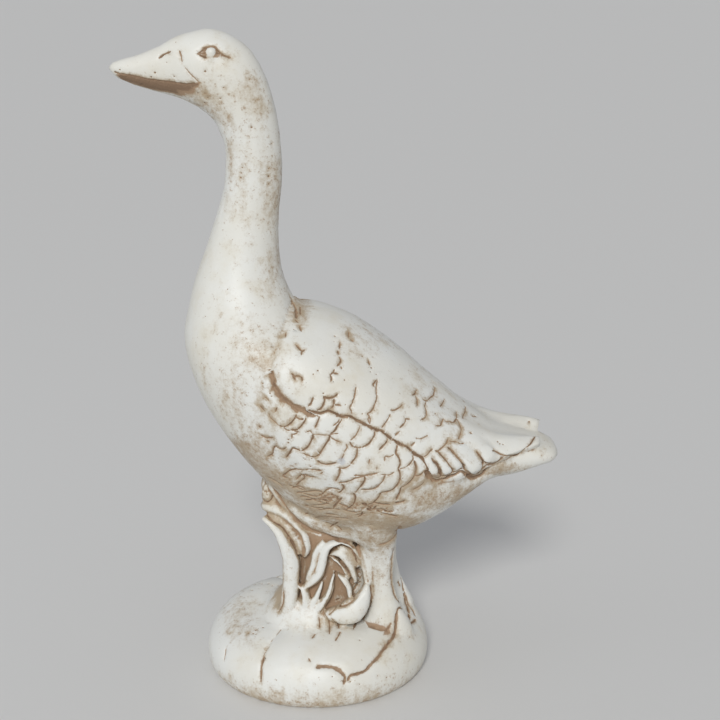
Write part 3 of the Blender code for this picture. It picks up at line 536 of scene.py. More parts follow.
# The line under the breast, over which the foliage ends.
BREAST_LINE = ((-30, 148), (-17, 163), (-9, 176), (2, 176), (32, 169), (62, 158))

# Where the lights point, and how far the floor reaches each way, in metres.
LIT_PLACE = Vector((0.02, 0, 0.34))
FLOOR_REACH = 300

# Colours of the stone and its wash as the eye sees it (0 to 255, red green blue); TAN, WASH and
# DARK_WASH also paint shade.
CREAM = (229, 230, 226)
WARM_CREAM = (220, 216, 203)
TAN = (176, 157, 129)
WASH = (163, 135, 109)
DARK_WASH = (104, 81, 62)
GREY = (168, 172, 182)


def display_colour(red, green, blue):
    """A shader's colour for one given as the eye sees it."""
    parts = []
    for part in (red, green, blue):
        part = part / 255
        parts.append(part / 12.92 if part <= 0.04045 else ((part + 0.055) / 1.055) ** 2.4)
    return (*parts, 1.0)


# ---------------------------------------------------------------------------------------
# Node trees

class Value:
    """A number in a node tree.  Sums and products of it add the tree's Math nodes."""

    def __init__(self, nodes, socket):
        self.nodes = nodes
        self.socket = socket

    def maths(self, operation, *others):
        """One Math node on this number and others."""
        inputs = {i: other for i, other in enumerate((self,) + others)}
        return self.nodes.value("ShaderNodeMath", {"operation": operation}, inputs)

    def __add__(self, other):
        return self.maths("ADD", other)

    def __radd__(self, other):
        return self.maths("ADD", other)

    def __sub__(self, other):
        return self.maths("SUBTRACT", other)

    def __rsub__(self, other):
        return (self * -1) + other

    def __mul__(self, other):
        return self.maths("MULTIPLY", other)

    def __rmul__(self, other):
        return self.maths("MULTIPLY", other)

    def __truediv__(self, other):
        return self.maths("DIVIDE", other)

    def at_most(self, other):
        """The smaller of two numbers."""
        return self.maths("MINIMUM", other)

    def at_least(self, other):
        """The larger of two numbers."""
        return self.maths("MAXIMUM", other)

    def size(self):
        """A number without its sign."""
        return self.maths("ABSOLUTE")

    def between(self, low, high):
        """A smooth step from 0 at the low number to 1 at the high one."""
        return self.nodes.value(
            "ShaderNodeMapRange", {"interpolation_type": "SMOOTHSTEP", "clamp": True},
            {"Value": self, "From Min": low, "From Max": high})


class Nodes:
    """A node tree, and the one way in which nodes are added to it."""

    def __init__(self, tree):
        self.tree = tree

    def add(self, kind, settings=None, inputs=None):
        """A node of a kind, with its settings and the values or links of its sockets."""
        node = self.tree.nodes.new(kind)
        for name, setting in (settings or {}).items():
            setattr(node, name, setting)
        for name, value in (inputs or {}).items():
            if isinstance(value, Value):
                self.tree.links.new(value.socket, node.inputs[name])
            else:
                node.inputs[name].default_value = value
        return node

    def value(self, kind, settings=None, inputs=None, output=0):
        """The same, as the value of one of the node's outputs."""
        return Value(self, self.add(kind, settings, inputs).outputs[output])

    def vector(self, operation, *vectors, output=0, **more):
        """A Vector Math node."""
        inputs = dict(enumerate(vectors))
        inputs.update(more)
        return self.value("ShaderNodeVectorMath", {"operation": operation}, inputs, output)

    def attribute(self, name, kind="FLOAT"):
        """A stored attribute, inside Geometry Nodes."""
        return self.value("GeometryNodeInputNamedAttribute", {"data_type": kind},
                          {"Name": name})

    def stored(self, geometry, name, value):
        """Geometry with a number stored on its points."""
        return self.value("GeometryNodeStoreNamedAttribute",
                          {"data_type": "FLOAT", "domain": "POINT"},
                          {"Geometry": geometry, "Name": name, "Value": value})


def geometry_tree(name, inputs):
    """An empty Geometry Nodes tree with named inputs: its nodes, and its inputs' values."""
    tree = bpy.data.node_groups.new(name, "GeometryNodeTree")
    tree.interface.new_socket("Geometry", in_out="INPUT", socket_type="NodeSocketGeometry")
    for label, kind, default in inputs:
        socket = tree.interface.new_socket(label, in_out="INPUT",
                                           socket_type="NodeSocket" + kind)
        if default is not None:
            socket.default_value = default
    tree.interface.new_socket("Geometry", in_out="OUTPUT", socket_type="NodeSocketGeometry")
    nodes = Nodes(tree)
    group_input = nodes.add("NodeGroupInput")
    given = {socket.name: Value(nodes, socket) for socket in group_input.outputs
             if socket.name}
    return nodes, given


def end_tree(nodes, geometry):
    """Give a tree its result."""
    nodes.add("NodeGroupOutput", None, {0: geometry})


def run_tree(thing, tree, **settings):
    """Run a tree on an object and keep the result as its plain mesh."""
    modifier = thing.modifiers.new(tree.name, "NODES")
    modifier.node_group = tree
    for item in tree.interface.items_tree:
        if item.item_type == "SOCKET" and item.in_out == "INPUT" and item.name in settings:
            modifier[item.identifier] = settings[item.name]
    keep_result(thing)


def keep_result(thing):
    """Turn an object's modifiers into its plain mesh."""
    bpy.context.view_layer.update()
    graph = bpy.context.evaluated_depsgraph_get()
    mesh = bpy.data.meshes.new_from_object(thing.evaluated_get(graph))
    thing.modifiers.clear()
    old = thing.data
    thing.data = mesh
    bpy.data.meshes.remove(old)


# ---------------------------------------------------------------------------------------
# Forms

def smooth_at(keys, places):
    """Rows of numbers, followed smoothly at any places along them."""
    keys = np.asarray(keys, float)
    rows = np.vstack((2 * keys[:1] - keys[1:2], keys, 2 * keys[-1:] - keys[-2:-1]))
    places = np.clip(np.asarray(places, float), 0, len(keys) - 1)
    first = np.minimum(places.astype(int), len(keys) - 2)
    t = (places - first)[:, None]
    a, b, c, d = (rows[first + i] for i in range(4))
    return 0.5 * (2 * b + (c - a) * t + (2 * a - 5 * b + 4 * c - d) * t ** 2
                  + (3 * b - a - 3 * c + d) * t ** 3)


def smooth_through(keys, count):
    """So many rows, evenly along a smooth way through the given rows."""
    return smooth_at(keys, np.linspace(0, len(keys) - 1, count))


def smooth_step(low, high, value):
    """A smooth step from 0 to 1."""
    t = np.clip((value - low) / (high - low), 0, 1)
    return t * t * (3 - 2 * t)


def rounded(value, fullness):
    """A sine or cosine, drawn out towards a square's by the fullness (2 leaves it)."""
    return np.sign(value) * np.abs(value) ** (2 / fullness)


def section_points(section, angles, out=0.0):
    """Points of a body section; angles run from the back over the left side."""
    x_back, z_back, x_front, z_front, half_width, fullness = section
    half_height = np.hypot(x_back - x_front, z_back - z_front) / 2
    up = rounded(np.cos(angles), fullness) * (1 + out / half_height) / 2
    side = rounded(np.sin(angles), fullness)
    return np.stack(((x_back + x_front) / 2 + (x_back - x_front) * up,
                     -side * (half_width + out),
                     (z_back + z_front) / 2 + (z_back - z_front) * up), axis=-1)


def lofted(rings):
    """A closed form through rings of points, with a fan over each end."""
    rings = np.asarray(rings)
    count, around = rings.shape[:2]
    points = np.vstack((rings.reshape(-1, 3), rings[0].mean(0)[None], rings[-1].mean(0)[None]))
    i, j = np.meshgrid(np.arange(count - 1), np.arange(around), indexing="ij")
    k = (j + 1) % around
    quads = np.stack((i * around + j, i * around + k, (i + 1) * around + k,
                      (i + 1) * around + j), axis=-1).reshape(-1, 4)
    faces = quads.tolist()
    last = (count - 1) * around
    for start, middle in ((0, count * around), (last, count * around + 1)):
        faces += [(start + j, start + (j + 1) % around, middle) for j in range(around)]
    return points, faces


def placed(name, data):
    """A new object in the scene."""
    thing = bpy.data.objects.new(name, data)
    bpy.context.scene.collection.objects.link(thing)
    return thing


def mesh_of(name, forms):
    """One object from several forms."""
    points = []
    faces = []
    start = 0
    for form_points, form_faces in forms:
        points.append(form_points)
        faces += [[start + i for i in face] for face in form_faces]
        start += len(form_points)
    mesh = bpy.data.meshes.new(name)
    mesh.from_pydata((np.vstack(points) * MM).tolist(), [], faces)
    return placed(name, mesh)


def body_form():
    """Bill, head, neck, trunk and tail."""
    angles = np.linspace(0, 2 * np.pi, 96, endpoint=False)
    return lofted([section_points(section, angles)
                   for section in smooth_through(PROFILE, 340)])


def wing_form(side, reach, rise):
    """A folded wing: it grows out of the back and the breast, and ends over the tail."""
    folds = np.array(WING, float)
    towards_tip = np.clip((folds[:, 0] - WING_TIP_START) / (WING_TIP_END - WING_TIP_START),
                          0, 1)
    folds[:, 0] += reach * towards_tip
    folds[:, 3] += rise * towards_tip
    t = np.linspace(0, 1, 44)
    rings = []
    for place, upper, lower, lift, edge in smooth_through(folds, 150):
        section = smooth_at(PROFILE, [place])[0]
        angles = np.radians(upper + (lower - upper) * t)
        soft = 1 - smooth_step(0.78, 1.0, t)
        hard = 1 - 0.5 * smooth_step(0.86, 1.0, t)
        shape = smooth_step(0, 0.4, t) * (soft + (hard - soft) * edge)
        half_height = np.hypot(section[0] - section[2], section[1] - section[3]) / 2
        outer = section_points(section, angles, -1.2 + (lift + 1.2) * shape)
        inner = section_points(section, angles, -min(WING_DEPTH, 0.35 * half_height))
        rings.append(np.vstack((outer, inner[::-1])) * (1, side, 1))
    return lofted(rings)


def mound_height(x, y):
    """Height of the mound's top over the ground."""
    r = np.minimum(np.hypot(x, y / MOUND_DEPTH) / MOUND_RADIUS, 1.0)
    full = np.sqrt(1 - r ** MOUND_SHOULDER)
    behind = MOUND_BACK_RISE * smooth_step(-30, 45, y) * full ** 0.5
    return MOUND_WAIST + (MOUND_HEIGHT - MOUND_WAIST) * full + behind


def mound_form():
    """The round base, with a rounded lower edge."""
    around = np.linspace(0, 2 * np.pi, 128, endpoint=False)
    rings = []
    for turn in np.linspace(0, np.pi / 2, 14):
        radius = MOUND_FOOT_RADIUS + (MOUND_RADIUS - MOUND_FOOT_RADIUS) * np.sin(turn)
        rings.append((radius, np.full(len(around), MOUND_WAIST * (1 - np.cos(turn)))))
    for turn in np.linspace(0, np.pi / 2, 40)[1:-1]:
        radius = MOUND_RADIUS * np.cos(turn) ** 0.75
        rings.append((radius, mound_height(radius * np.cos(around),
                                           MOUND_DEPTH * radius * np.sin(around))))
    return lofted([np.stack((radius * np.cos(around), MOUND_DEPTH * radius * np.sin(around),
                             heights), axis=-1) for radius, heights in rings])


def column_form(limbs, side=1, set_back=0, fullness=2.0):
    """An upright limb with rounded level sections."""
    turns = np.linspace(0, 2 * np.pi, 40, endpoint=False)
    rings = []
    for x, y, z, along, across in smooth_through(limbs, 50):
        rings.append(np.stack((
            x + set_back + along * rounded(np.cos(turns), fullness),
            side * (y + across * rounded(np.sin(turns), fullness)),
            np.full(len(turns), z)), axis=-1))
    return lofted(rings)


def band_form(centres, facings, half_widths, thicks, fullness=2.0):
    """A band with oval sections along a way, facing outwards."""
    turns = np.linspace(0, 2 * np.pi, 20, endpoint=False)
    rings = []
    for i, centre in enumerate(centres):
        along = centres[min(i + 1, len(centres) - 1)] - centres[max(i - 1, 0)]
        across = np.cross(along, facings[i])
        across /= np.linalg.norm(across)
        out = np.cross(across, along)
        out /= np.linalg.norm(out)
        rings.append(centre + half_widths[i] * np.outer(rounded(np.cos(turns), fullness), across)
                     + thicks[i] * np.outer(rounded(np.sin(turns), fullness), out))
    return lofted(rings)


def leaf_form(leaf, side):
    """One leaf along its smooth path."""
    rows = smooth_through(leaf.path, 12 * len(leaf.path))
    centres = rows[:, :3] * (1, -side, 1)
    facing = np.array(leaf.facing, float) * (1, side, 1)
    thicks = leaf.thick * np.minimum(1.0, 0.35 + rows[:, 3] / 6)
    return band_form(centres, [facing] * len(rows), rows[:, 3], thicks)


def foot_form(side, set_back):
    """A webbed foot: a low fan that follows the mound."""
    directions = np.radians(np.linspace(FOOT_DIRECTIONS[0], FOOT_DIRECTIONS[-1], 60))
    toes = np.radians(FOOT_DIRECTIONS)
    reach = np.interp(directions, toes, FOOT_TOES)
    for start, end in zip(toes, toes[1:]):
        between = np.clip((directions - start) / (end - start), 0, 1)
        reach = reach * (1 - (1 - FOOT_WEB) * np.sin(np.pi * between))
    steps = 48
    top = []
    bottom = []
    for i, (direction, length) in enumerate(zip(directions, reach)):
        t = i / (len(directions) - 1)
        for j in range(steps):
            share = j / (steps - 1)
            x = FOOT_HEEL[0] + set_back - length * (0.04 + 0.96 * share) * np.cos(direction)
            y = FOOT_HEEL[1] + length * (0.04 + 0.96 * share) * np.sin(direction)
            beyond = np.hypot(x, y / MOUND_DEPTH) / (0.97 * MOUND_RADIUS)
            if beyond > 1:
                x, y = x / beyond, y / beyond
            height = mound_height(x, side * y)
            rise = (FOOT_RISE * smooth_step(0, 0.07, min(t, 1 - t))
                    * smooth_step(0, 0.05, 1 - share))
            top.append((x, side * y, height + rise - 0.3))
            bottom.append((x, side * y, height - 4))
    points = np.array(top + bottom)
    count = len(top)
    faces = []
    for i in range(len(directions) - 1):
        for j in range(steps - 1):
            a = i * steps + j
            quad = (a, a + 1, a + steps + 1, a + steps)
            faces.append(quad)
            faces.append(tuple(k + count for k in quad[::-1]))
    last = (len(directions) - 1) * steps
    rim = list(range(steps)) + [i * steps + steps - 1 for i in range(1, len(directions))]
    rim += [last + j for j in range(steps - 2, -1, -1)]
    rim += [i * steps for i in range(len(directions) - 2, 0, -1)]
    for a, b in zip(rim, rim[1:] + rim[:1]):
        faces.append((a, b, b + count, a + count))
    return points, faces


def eye_form(side):
    """The ball of one eye."""
    x, y, z = EYE_PLACE
    turns = np.linspace(0, 2 * np.pi, 24, endpoint=False)
    rings = []
    for rise in np.linspace(-0.48, 0.48, 14) * np.pi:
        radius = EYE_RADIUS * np.cos(rise)
        rings.append(np.stack((x + radius * np.cos(turns), side * y + radius * np.sin(turns),
                               np.full(len(turns), z + EYE_RADIUS * np.sin(rise))), axis=-1))
    return lofted(rings)


def surface_tree(thing):
    """What finds places on an object's surface."""
    thing.data.calc_loop_triangles()
    points = [vertex.co for vertex in thing.data.vertices]
    return BVHTree.FromPolygons(points, [tri.vertices for tri in thing.data.loop_triangles])


def met(tree, starts, direction):
    """Points and normals where rays from the starts meet a surface, in mm."""
    hits = [tree.ray_cast(Vector(start) * MM, Vector(direction)) for start in starts]
    hits = [hit for hit in hits if hit[0] is not None]
    return np.array([hit[0] / MM for hit in hits]), np.array([hit[1] for hit in hits])


def on_side(tree, way, side):
    """Points and normals on a surface under a way seen from the side."""
    return met(tree, [(x, side * 400, z) for x, z in way], (0, -side, 0))


def on_top(tree, way, side):
    """The same under a way on the mound, seen from above."""
    return met(tree, [(x, -side * y, 100) for x, y in way], (0, 0, -1))


def quill_forms(tree, side):
    """The quills of one wing, lying on it."""
    forms = []
    for quill in QUILLS:
        way = smooth_through(quill.path, 30)
        places, normals = on_side(tree, way, side)
        share = np.linspace(0, 1, len(places))
        ends = np.sqrt(np.clip(1 - ((share - 0.72) / 0.28).clip(0, 1) ** 2, 0.02, 1))
        half_widths = quill.half_width * ends * (0.75 + 0.25 * smooth_step(0, 0.5, share))
        thicks = quill.thick * (0.25 + 0.75 * smooth_step(0, 0.8, share)) * ends
        forms.append(band_form(places, normals, half_widths, thicks, 3.2))
    return forms


# ---------------------------------------------------------------------------------------
# Carved lines

def drawn(tree, lines_table, cast, side, step=1.3):
    """Carved lines laid on the surface: runs of (place, half width, depth, wash)."""
    runs = []
    for lines in lines_table:
        for way in lines.ways:
            keys = np.array(way, float)
            length = np.hypot(*np.diff(keys, axis=0).T).sum()
            count = max(4, round(length / step))
            places, _ = cast(tree, smooth_through(keys, count), side)
            if len(places) < 2:
                continue
            along = np.linspace(0, 1, len(places)) * length
            end = min(1.6, 0.3 * length)
            taper = smooth_step(-0.35 * end, end, along) * smooth_step(-0.35 * end, end,
                                                                        length - along)
            runs.append((places, lines.half_width * LINE_WIDTH * (0.7 + 0.3 * taper),
                         lines.depth * LINE_DEPTH * (0.7 + 0.3 * taper),
                         lines.wash * (0.85 + 0.15 * taper),
                         lines.wash * (0.6 + 0.4 * taper)))
    return runs


def lines_object(name, runs):
    """An object of edges for runs of line points, with what the carving needs on them."""
    places = np.vstack([run[0] for run in runs])
    edges = []
    start = 0
    for run in runs:
        edges += [(start + i, start + i + 1) for i in range(len(run[0]) - 1)]
        start += len(run[0])
    mesh = bpy.data.meshes.new(name)
    mesh.from_pydata((places * MM).tolist(), edges, [])
    for i, label in ((1, "half_width"), (2, "depth"), (3, "wash"), (4, "glow")):
        values = np.concatenate([run[i] for run in runs]) * (MM if i < 3 else 1)
        note(mesh, label, values)
    return placed(name, mesh)


def pits(tree, places, cast, side):
    """Small pits in the surface, as very short lines."""
    found, _ = cast(tree, places, side)
    return [(place + ((-0.3, 0, 0), (0.3, 0, 0)), np.full(2, 0.9), np.full(2, 1.0),
             np.full(2, 1.0), np.full(2, 0.3)) for place in found]


def pore_tree():
    """Points scattered over a skin, where the casting left pores."""
    nodes, given = geometry_tree("Pores", (("Per Square Metre", "Float", 900.0),
                                           ("Seed", "Int", 4)))
    spread = nodes.value(
        "GeometryNodeDistributePointsOnFaces", {"distribute_method": "RANDOM"},
        {"Mesh": given["Geometry"], "Density": given["Per Square Metre"],
         "Seed": given["Seed"]})
    end_tree(nodes, nodes.value("GeometryNodePointsToVertices", None, {"Points": spread}))
    return nodes.tree


def pore_runs(skin, density):
    """Pores of the casting, as very short carved lines."""
    probe = placed("pores", skin.data.copy())
    run_tree(probe, pore_tree(), **{"Per Square Metre": density})
    places = positions(probe.data) / MM
    bpy.data.objects.remove(probe)
    runs = []
    for i, place in enumerate(places):
        size = 0.3 + 0.4 * ((i * 7) % 10) / 10
        runs.append((place + ((-0.2, 0, -0.1), (0.2, 0, 0.1)), np.full(2, size),
                     np.full(2, size), np.full(2, 0.9), np.zeros(2)))
    return runs


def positions(mesh):
    """A mesh's points as rows of numbers."""
    found = np.empty(len(mesh.vertices) * 3)
    mesh.vertices.foreach_get("co", found)
    return found.reshape(-1, 3)


def numbers(mesh, name):
    """What is noted under a name on a mesh's points."""
    found = np.empty(len(mesh.vertices))
    mesh.attributes[name].data.foreach_get("value", found)
    return found


def note(mesh, name, values):
    """Note numbers on a mesh's points."""
    found = mesh.attributes.get(name) or mesh.attributes.new(name, "FLOAT", "POINT")
    found.data.foreach_set("value", values)


def soft_cover(mesh, stains, up=2):
    """How far soft patches of stain and painted shade, seen from a side or above, cover each
    point.
    """
    places = np.abs(positions(mesh) / MM) * (1, -1, 1)
    places[:, 0] = positions(mesh)[:, 0] / MM
    cover = np.zeros(len(places))
    for x, z, along, across, strength in stains:
        away = np.hypot((places[:, 0] - x) / along, (places[:, up] - z) / across)
        cover = np.maximum(cover, strength * (1 - smooth_step(0.35, 1.35, away)))
    return cover


def washed_and_shaded(mesh, areas):
    """How far areas with an outline, given as seen from the side, cover each point."""
    places = positions(mesh)[:, (0, 2)] / MM
    cover = np.zeros(len(places))
    for strength, softness, outline in areas:
        corners = np.array(outline, float)
        inside = np.zeros(len(places), bool)
        away = np.full(len(places), 1e9)
        for start, end in zip(corners, np.roll(corners, -1, axis=0)):
            along = end - start
            share = np.clip((places - start) @ along / (along @ along), 0, 1)
            away = np.minimum(away, np.hypot(*(places - start - share[:, None] * along).T))
            between = (start[1] > places[:, 1]) != (end[1] > places[:, 1])
            crossing = start[0] + (places[:, 1] - start[1]) * along[0] / (along[1] or 1e-9)
            inside ^= between & (places[:, 0] < crossing)
        depth = np.where(inside, away, -away)
        cover = np.maximum(cover, strength * smooth_step(-softness, softness, depth))
    return cover


def recessed(mesh):
    """Where the stem shows behind the leaves: brown there, partly wash and partly painted shade.
    """
    x, y, z = (positions(mesh) / MM).T
    rows = np.array(STEM, float)
    middle, along, across = (np.interp(z, rows[:, 2], rows[:, i]) for i in (0, 3, 4))
    out = (np.abs((x - middle) / along) ** 3 + np.abs(y / across) ** 3) ** (1 / 3)
    line = np.array(BREAST_LINE, float)
    under = smooth_step(-2, 1, np.interp(x, line[:, 0], line[:, 1]) - z)
    above = smooth_step(-1, 4, z - mound_height(x, y))
    return (1 - smooth_step(1.02, 1.18, out)) * under * above * smooth_step(58, 48, x)


def among_leaves(mesh):
    """Where the foliage is."""
    x, y, z = (positions(mesh) / MM).T
    under = smooth_step(0, 6, np.interp(x, (-60, -30, -9, 2, 62), (240, 205, 176, 174, 160)) - z)
    return under * smooth_step(58, 54, x) * smooth_step(2, 12, z - mound_height(x, y))


def near_tree():
    """Notes how far each point of a skin is from the lines that will be carved."""
    nodes, given = geometry_tree("Near", (("Lines", "Object", None),))
    lines = nodes.value("GeometryNodeObjectInfo", None, {"Object": given["Lines"]}, "Geometry")
    away = nodes.value("GeometryNodeProximity", {"target_element": "EDGES"}, {0: lines},
                       "Distance")
    end_tree(nodes, nodes.stored(given["Geometry"], "near", away / MM))
    return nodes.tree


def refine(mesh, reach):
    """Halve the edges that lie within reach of a line."""
    work = bmesh.new()
    work.from_mesh(mesh)
    near = work.verts.layers.float["near"]
    edges = [edge for edge in work.edges
             if edge.verts[0][near] < reach and edge.verts[1][near] < reach]
    bmesh.ops.subdivide_edges(work, edges=edges, cuts=1, use_grid_fill=True)
    work.to_mesh(mesh)
    work.free()


def carve_tree():
    """Cuts grooves into a skin along lines, and notes the wash that stays in them."""
    nodes, given = geometry_tree("Carve", (
        ("Lines", "Object", None), ("Shoulder Reach", "Float", 0.0046),
        ("Shoulder Depth", "Float", 0.42), ("Wobble", "Float", 0.0003)))
    lines = nodes.value("GeometryNodeObjectInfo", None, {"Object": given["Lines"]}, "Geometry")
    nearest = nodes.value("GeometryNodeSampleNearest", {"domain": "POINT"}, {"Geometry": lines})

    def from_line(name):
        """A number of the nearest line point."""
        return nodes.value("GeometryNodeSampleIndex", {"data_type": "FLOAT", "domain": "POINT"},
                           {"Geometry": lines, "Value": nodes.attribute(name),
                            "Index": nearest})

    place = nodes.value("GeometryNodeInputPosition")
    away = nodes.value("GeometryNodeProximity", {"target_element": "EDGES"}, {0: lines},
                       "Distance")
    rough = nodes.value("ShaderNodeTexNoise", None,
                        {"Vector": place, "Scale": 320.0, "Detail": 2.0}) - 0.5
    away = (away + rough * given["Wobble"] * 4).at_least(0.0)
    drift = nodes.value("ShaderNodeTexNoise", None,
                        {"Vector": place, "Scale": 120.0, "Detail": 1.0}).between(0.3, 0.7)
    fading = nodes.value("ShaderNodeTexNoise", None,
                         {"Vector": place, "Scale": 75.0, "Detail": 2.0}).between(0.3, 0.6)
    half_width = from_line("half_width") * (drift * 0.7 + 0.62)
    depth = from_line("depth")
    wash = from_line("wash") * (fading * 0.35 + 0.7)
    groove = 1 - (away / half_width).between(0.0, 1.0)
    shoulder = 1 - (away / (half_width + given["Shoulder Reach"])).between(0.0, 1.0)
    sink = depth * (groove + shoulder * given["Shoulder Depth"])
    inwards = nodes.vector("SCALE", nodes.value("GeometryNodeInputNormal"), Scale=sink * -1)
    core = wash * (1 - (away / (half_width + 0.0002)).between(0.3, 1.12))
    skin = nodes.stored(given["Geometry"], "wash", nodes.attribute("wash").at_least(core))
    halo = from_line("glow") * (1 - (away / (half_width + 0.0046)).between(0.12, 1.0))
    skin = nodes.stored(skin, "halo", nodes.attribute("halo").at_least(halo))
    end_tree(nodes, nodes.value("GeometryNodeSetPosition", None,
                                {"Geometry": skin, "Offset": inwards}))
    return nodes.tree


def roughen_tree():
    """Roughens the patches where feathers end in stipple."""
    nodes, given = geometry_tree("Roughen", (("Height", "Float", 0.0011),))
    place = nodes.value("GeometryNodeInputPosition")
    curds = nodes.value("ShaderNodeTexNoise", None,
                        {"Vector": place, "Scale": 210.0, "Detail": 2.5, "Distortion": 0.5})
    high = curds.between(0.34, 0.64) - 0.5
    cover = nodes.attribute("rough")
    outwards = nodes.vector("SCALE", nodes.value("GeometryNodeInputNormal"),
                            Scale=high * cover * given["Height"])
    hidden = (0.42 - high) * cover * 1.05
    skin = nodes.stored(given["Geometry"], "wash", nodes.attribute("wash").at_least(hidden))
    end_tree(nodes, nodes.value("GeometryNodeSetPosition", None,
                                {"Geometry": skin, "Offset": outwards}))
    return nodes.tree


def hollow_tree():
    """Notes how hollow the skin is, finely and widely, and spreads the wash into the halo."""
    nodes, given = geometry_tree("Hollows", (
        ("Fine Steps", "Int", 6), ("Wide Steps", "Int", 70)))
    place = nodes.value("GeometryNodeInputPosition")
    normal = nodes.value("GeometryNodeInputNormal")
    skin = given["Geometry"]
    for name, steps in (("hollow_fine", "Fine Steps"), ("hollow_wide", "Wide Steps")):
        blurred = nodes.value("GeometryNodeBlurAttribute", {"data_type": "FLOAT_VECTOR"},
                              {"Value": place, "Iterations": given[steps]})
        sunk = nodes.vector("DOT_PRODUCT", nodes.vector("SUBTRACT", blurred, place), normal,
                            output="Value")
        skin = nodes.stored(skin, name, sunk / MM)
    spread = nodes.value("GeometryNodeBlurAttribute", {"data_type": "FLOAT"},
                         {"Value": nodes.attribute("wash"), "Iterations": 16})
    skin = nodes.stored(skin, "halo", nodes.attribute("halo").at_least(spread * 1.15))
    end_tree(nodes, skin)
    return nodes.tree


def transfer_tree():
    """Copies the noted numbers from a fine skin to a lighter one."""
    nodes, given = geometry_tree("Transfer", (("Fine", "Object", None),
                                              ("Stone", "Material", None)))
    fine = nodes.value("GeometryNodeObjectInfo", None, {"Object": given["Fine"]}, "Geometry")
    skin = given["Geometry"]
    for name in ("wash", "halo", "hollow_fine", "hollow_wide"):
        found = nodes.value("GeometryNodeSampleNearestSurface", {"data_type": "FLOAT"},
                            {"Mesh": fine, "Value": nodes.attribute(name)})
        skin = nodes.stored(skin, name, found)
    end_tree(nodes, nodes.value("GeometryNodeSetMaterial", None,
                                {"Geometry": skin, "Material": given["Stone"]}))
    return nodes.tree


# ---------------------------------------------------------------------------------------
# Stone

def stone_material(finish):
    """Cream cast stone with a brown wash left in its hollows, under a thin sealer, and tan
    painted shade.
    """
    material = bpy.data.materials.new("cast_stone")
    material.use_nodes = True
    tree = material.node_tree
    tree.nodes.clear()
    nodes = Nodes(tree)
    place = nodes.value("ShaderNodeTexCoord", None, None, "Object")

    def noted(name):
        """A number noted on the skin."""
        return nodes.value("ShaderNodeAttribute", {"attribute_name": name}, None, "Fac")

    def noise(scale, detail=3.0, roughness=0.55, shift=0.0):
        """Noise of so many waves to the metre, from about 0 to 1."""
        moved = nodes.vector("ADD", place, (shift, shift * 0.7, -shift))
        return nodes.value("ShaderNodeTexNoise", None,
                           {"Vector": moved, "Scale": scale, "Detail": detail,
                            "Roughness": roughness})

    def mixed(factor, low, high):
        """A colour between two."""
        return nodes.value("ShaderNodeMix", {"data_type": "RGBA"},
                           {"Factor": factor, 6: low, 7: high}, 2)

    wash = noted("wash")
    halo = noted("halo")
    fine = noted("hollow_fine")
    wide = noted("hollow_wide")
    tan = noted("tan")
    leafy = noted("leafy")
    facing = nodes.value("ShaderNodeNewGeometry", None, None, "Normal")
    # How far a face turns edgewise to the front light: in the foliage it is made tan as painted
    # shade.
    edgewise = 1 - nodes.vector("DOT_PRODUCT", facing, (0.0, 1.0, 0.0), output="Value").size()
    down = nodes.vector("DOT_PRODUCT", facing, (0.0, 0.0, -1.0), output="Value")

    clouds = noise(9.0, 4.0)
    patches = noise(36.0, 4.0, 0.6, 0.3)
    crumbs = noise(170.0, 3.0, 0.65, 1.7)
    grain = noise(520.0, 3.0, 0.6, 0.9)
    drips = nodes.value("ShaderNodeTexNoise", None,
                        {"Vector": nodes.vector("MULTIPLY", place, (1.0, 1.0, 0.14)),
                         "Scale": 110.0, "Detail": 3.0})

    tone = mixed(clouds.between(0.35, 0.7) * 0.6 + patches.between(0.45, 0.75) * 0.45,
                 display_colour(*CREAM), display_colour(*WARM_CREAM))
    # Painted shade: faces that turn down are made tan and more speckled, as if in shade.
    under = down.between(-0.35, 0.75)
    tan_and_shade = (tan + halo * 0.8 + wide * 0.11 + fine * 0.5 + under * 0.36
              + leafy * (edgewise.between(0.25, 0.8) * 0.9 + 0.14) + (patches - 0.5) * 1.0
              + (crumbs - 0.5) * 1.1 + (drips - 0.5) * 0.9 + (grain - 0.5) * 0.7)
    tone = mixed(tan_and_shade.between(0.2, 1.2) * 0.9, tone, display_colour(*TAN))
    # The speckle also grows on faces that turn down, as painted shade.
    speckle = ((crumbs - 0.5) * 1.6 + (grain - 0.5) * 1.4 + tan * 0.3 + under * 0.14)
    tone = mixed(speckle.between(0.36, 0.58) * 0.5, tone, display_colour(*WASH))
    brown = (wash + fine * 1.1 + wide * 0.05 + (crumbs - 0.5) * 0.6 + (patches - 0.5) * 0.3
             + (grain - 0.5) * 0.4)
    brown = brown.between(0.4, 0.66)
    tone = mixed(brown * finish.wash_strength, tone, display_colour(*WASH))
    # The darkest brown: in deep lines, and on the lower bill, where it is also painted shade.
    deep = (wash + fine * 0.6 + (crumbs - 0.5) * 0.8).between(0.85, 1.4)
    tone = mixed(deep * 0.6, tone, display_colour(*DARK_WASH))
    grey = noted("grey")
    tone = mixed((grey + (crumbs - 0.5) * 1.2).between(0.4, 0.8) * 0.5, tone,
                 display_colour(*GREY))

    rough = finish.roughness + brown * 0.28 + (patches - 0.5) * 0.14 + (grain - 0.5) * 0.1
    height = grain * 0.35 + crumbs * 0.6 + brown * (grain - 0.5) * 1.6 - brown * 0.3
    bump = nodes.value("ShaderNodeBump", None,
                       {"Strength": finish.bump, "Distance": 0.0006, "Height": height})
    shader = nodes.value("ShaderNodeBsdfPrincipled", None,
                         {"Base Color": tone, "Roughness": rough.at_most(0.95), "Normal": bump,
                          "Specular IOR Level": 0.45})
    nodes.add("ShaderNodeOutputMaterial", None, {"Surface": shader})
    return material


# ---------------------------------------------------------------------------------------
# Steps of the casting

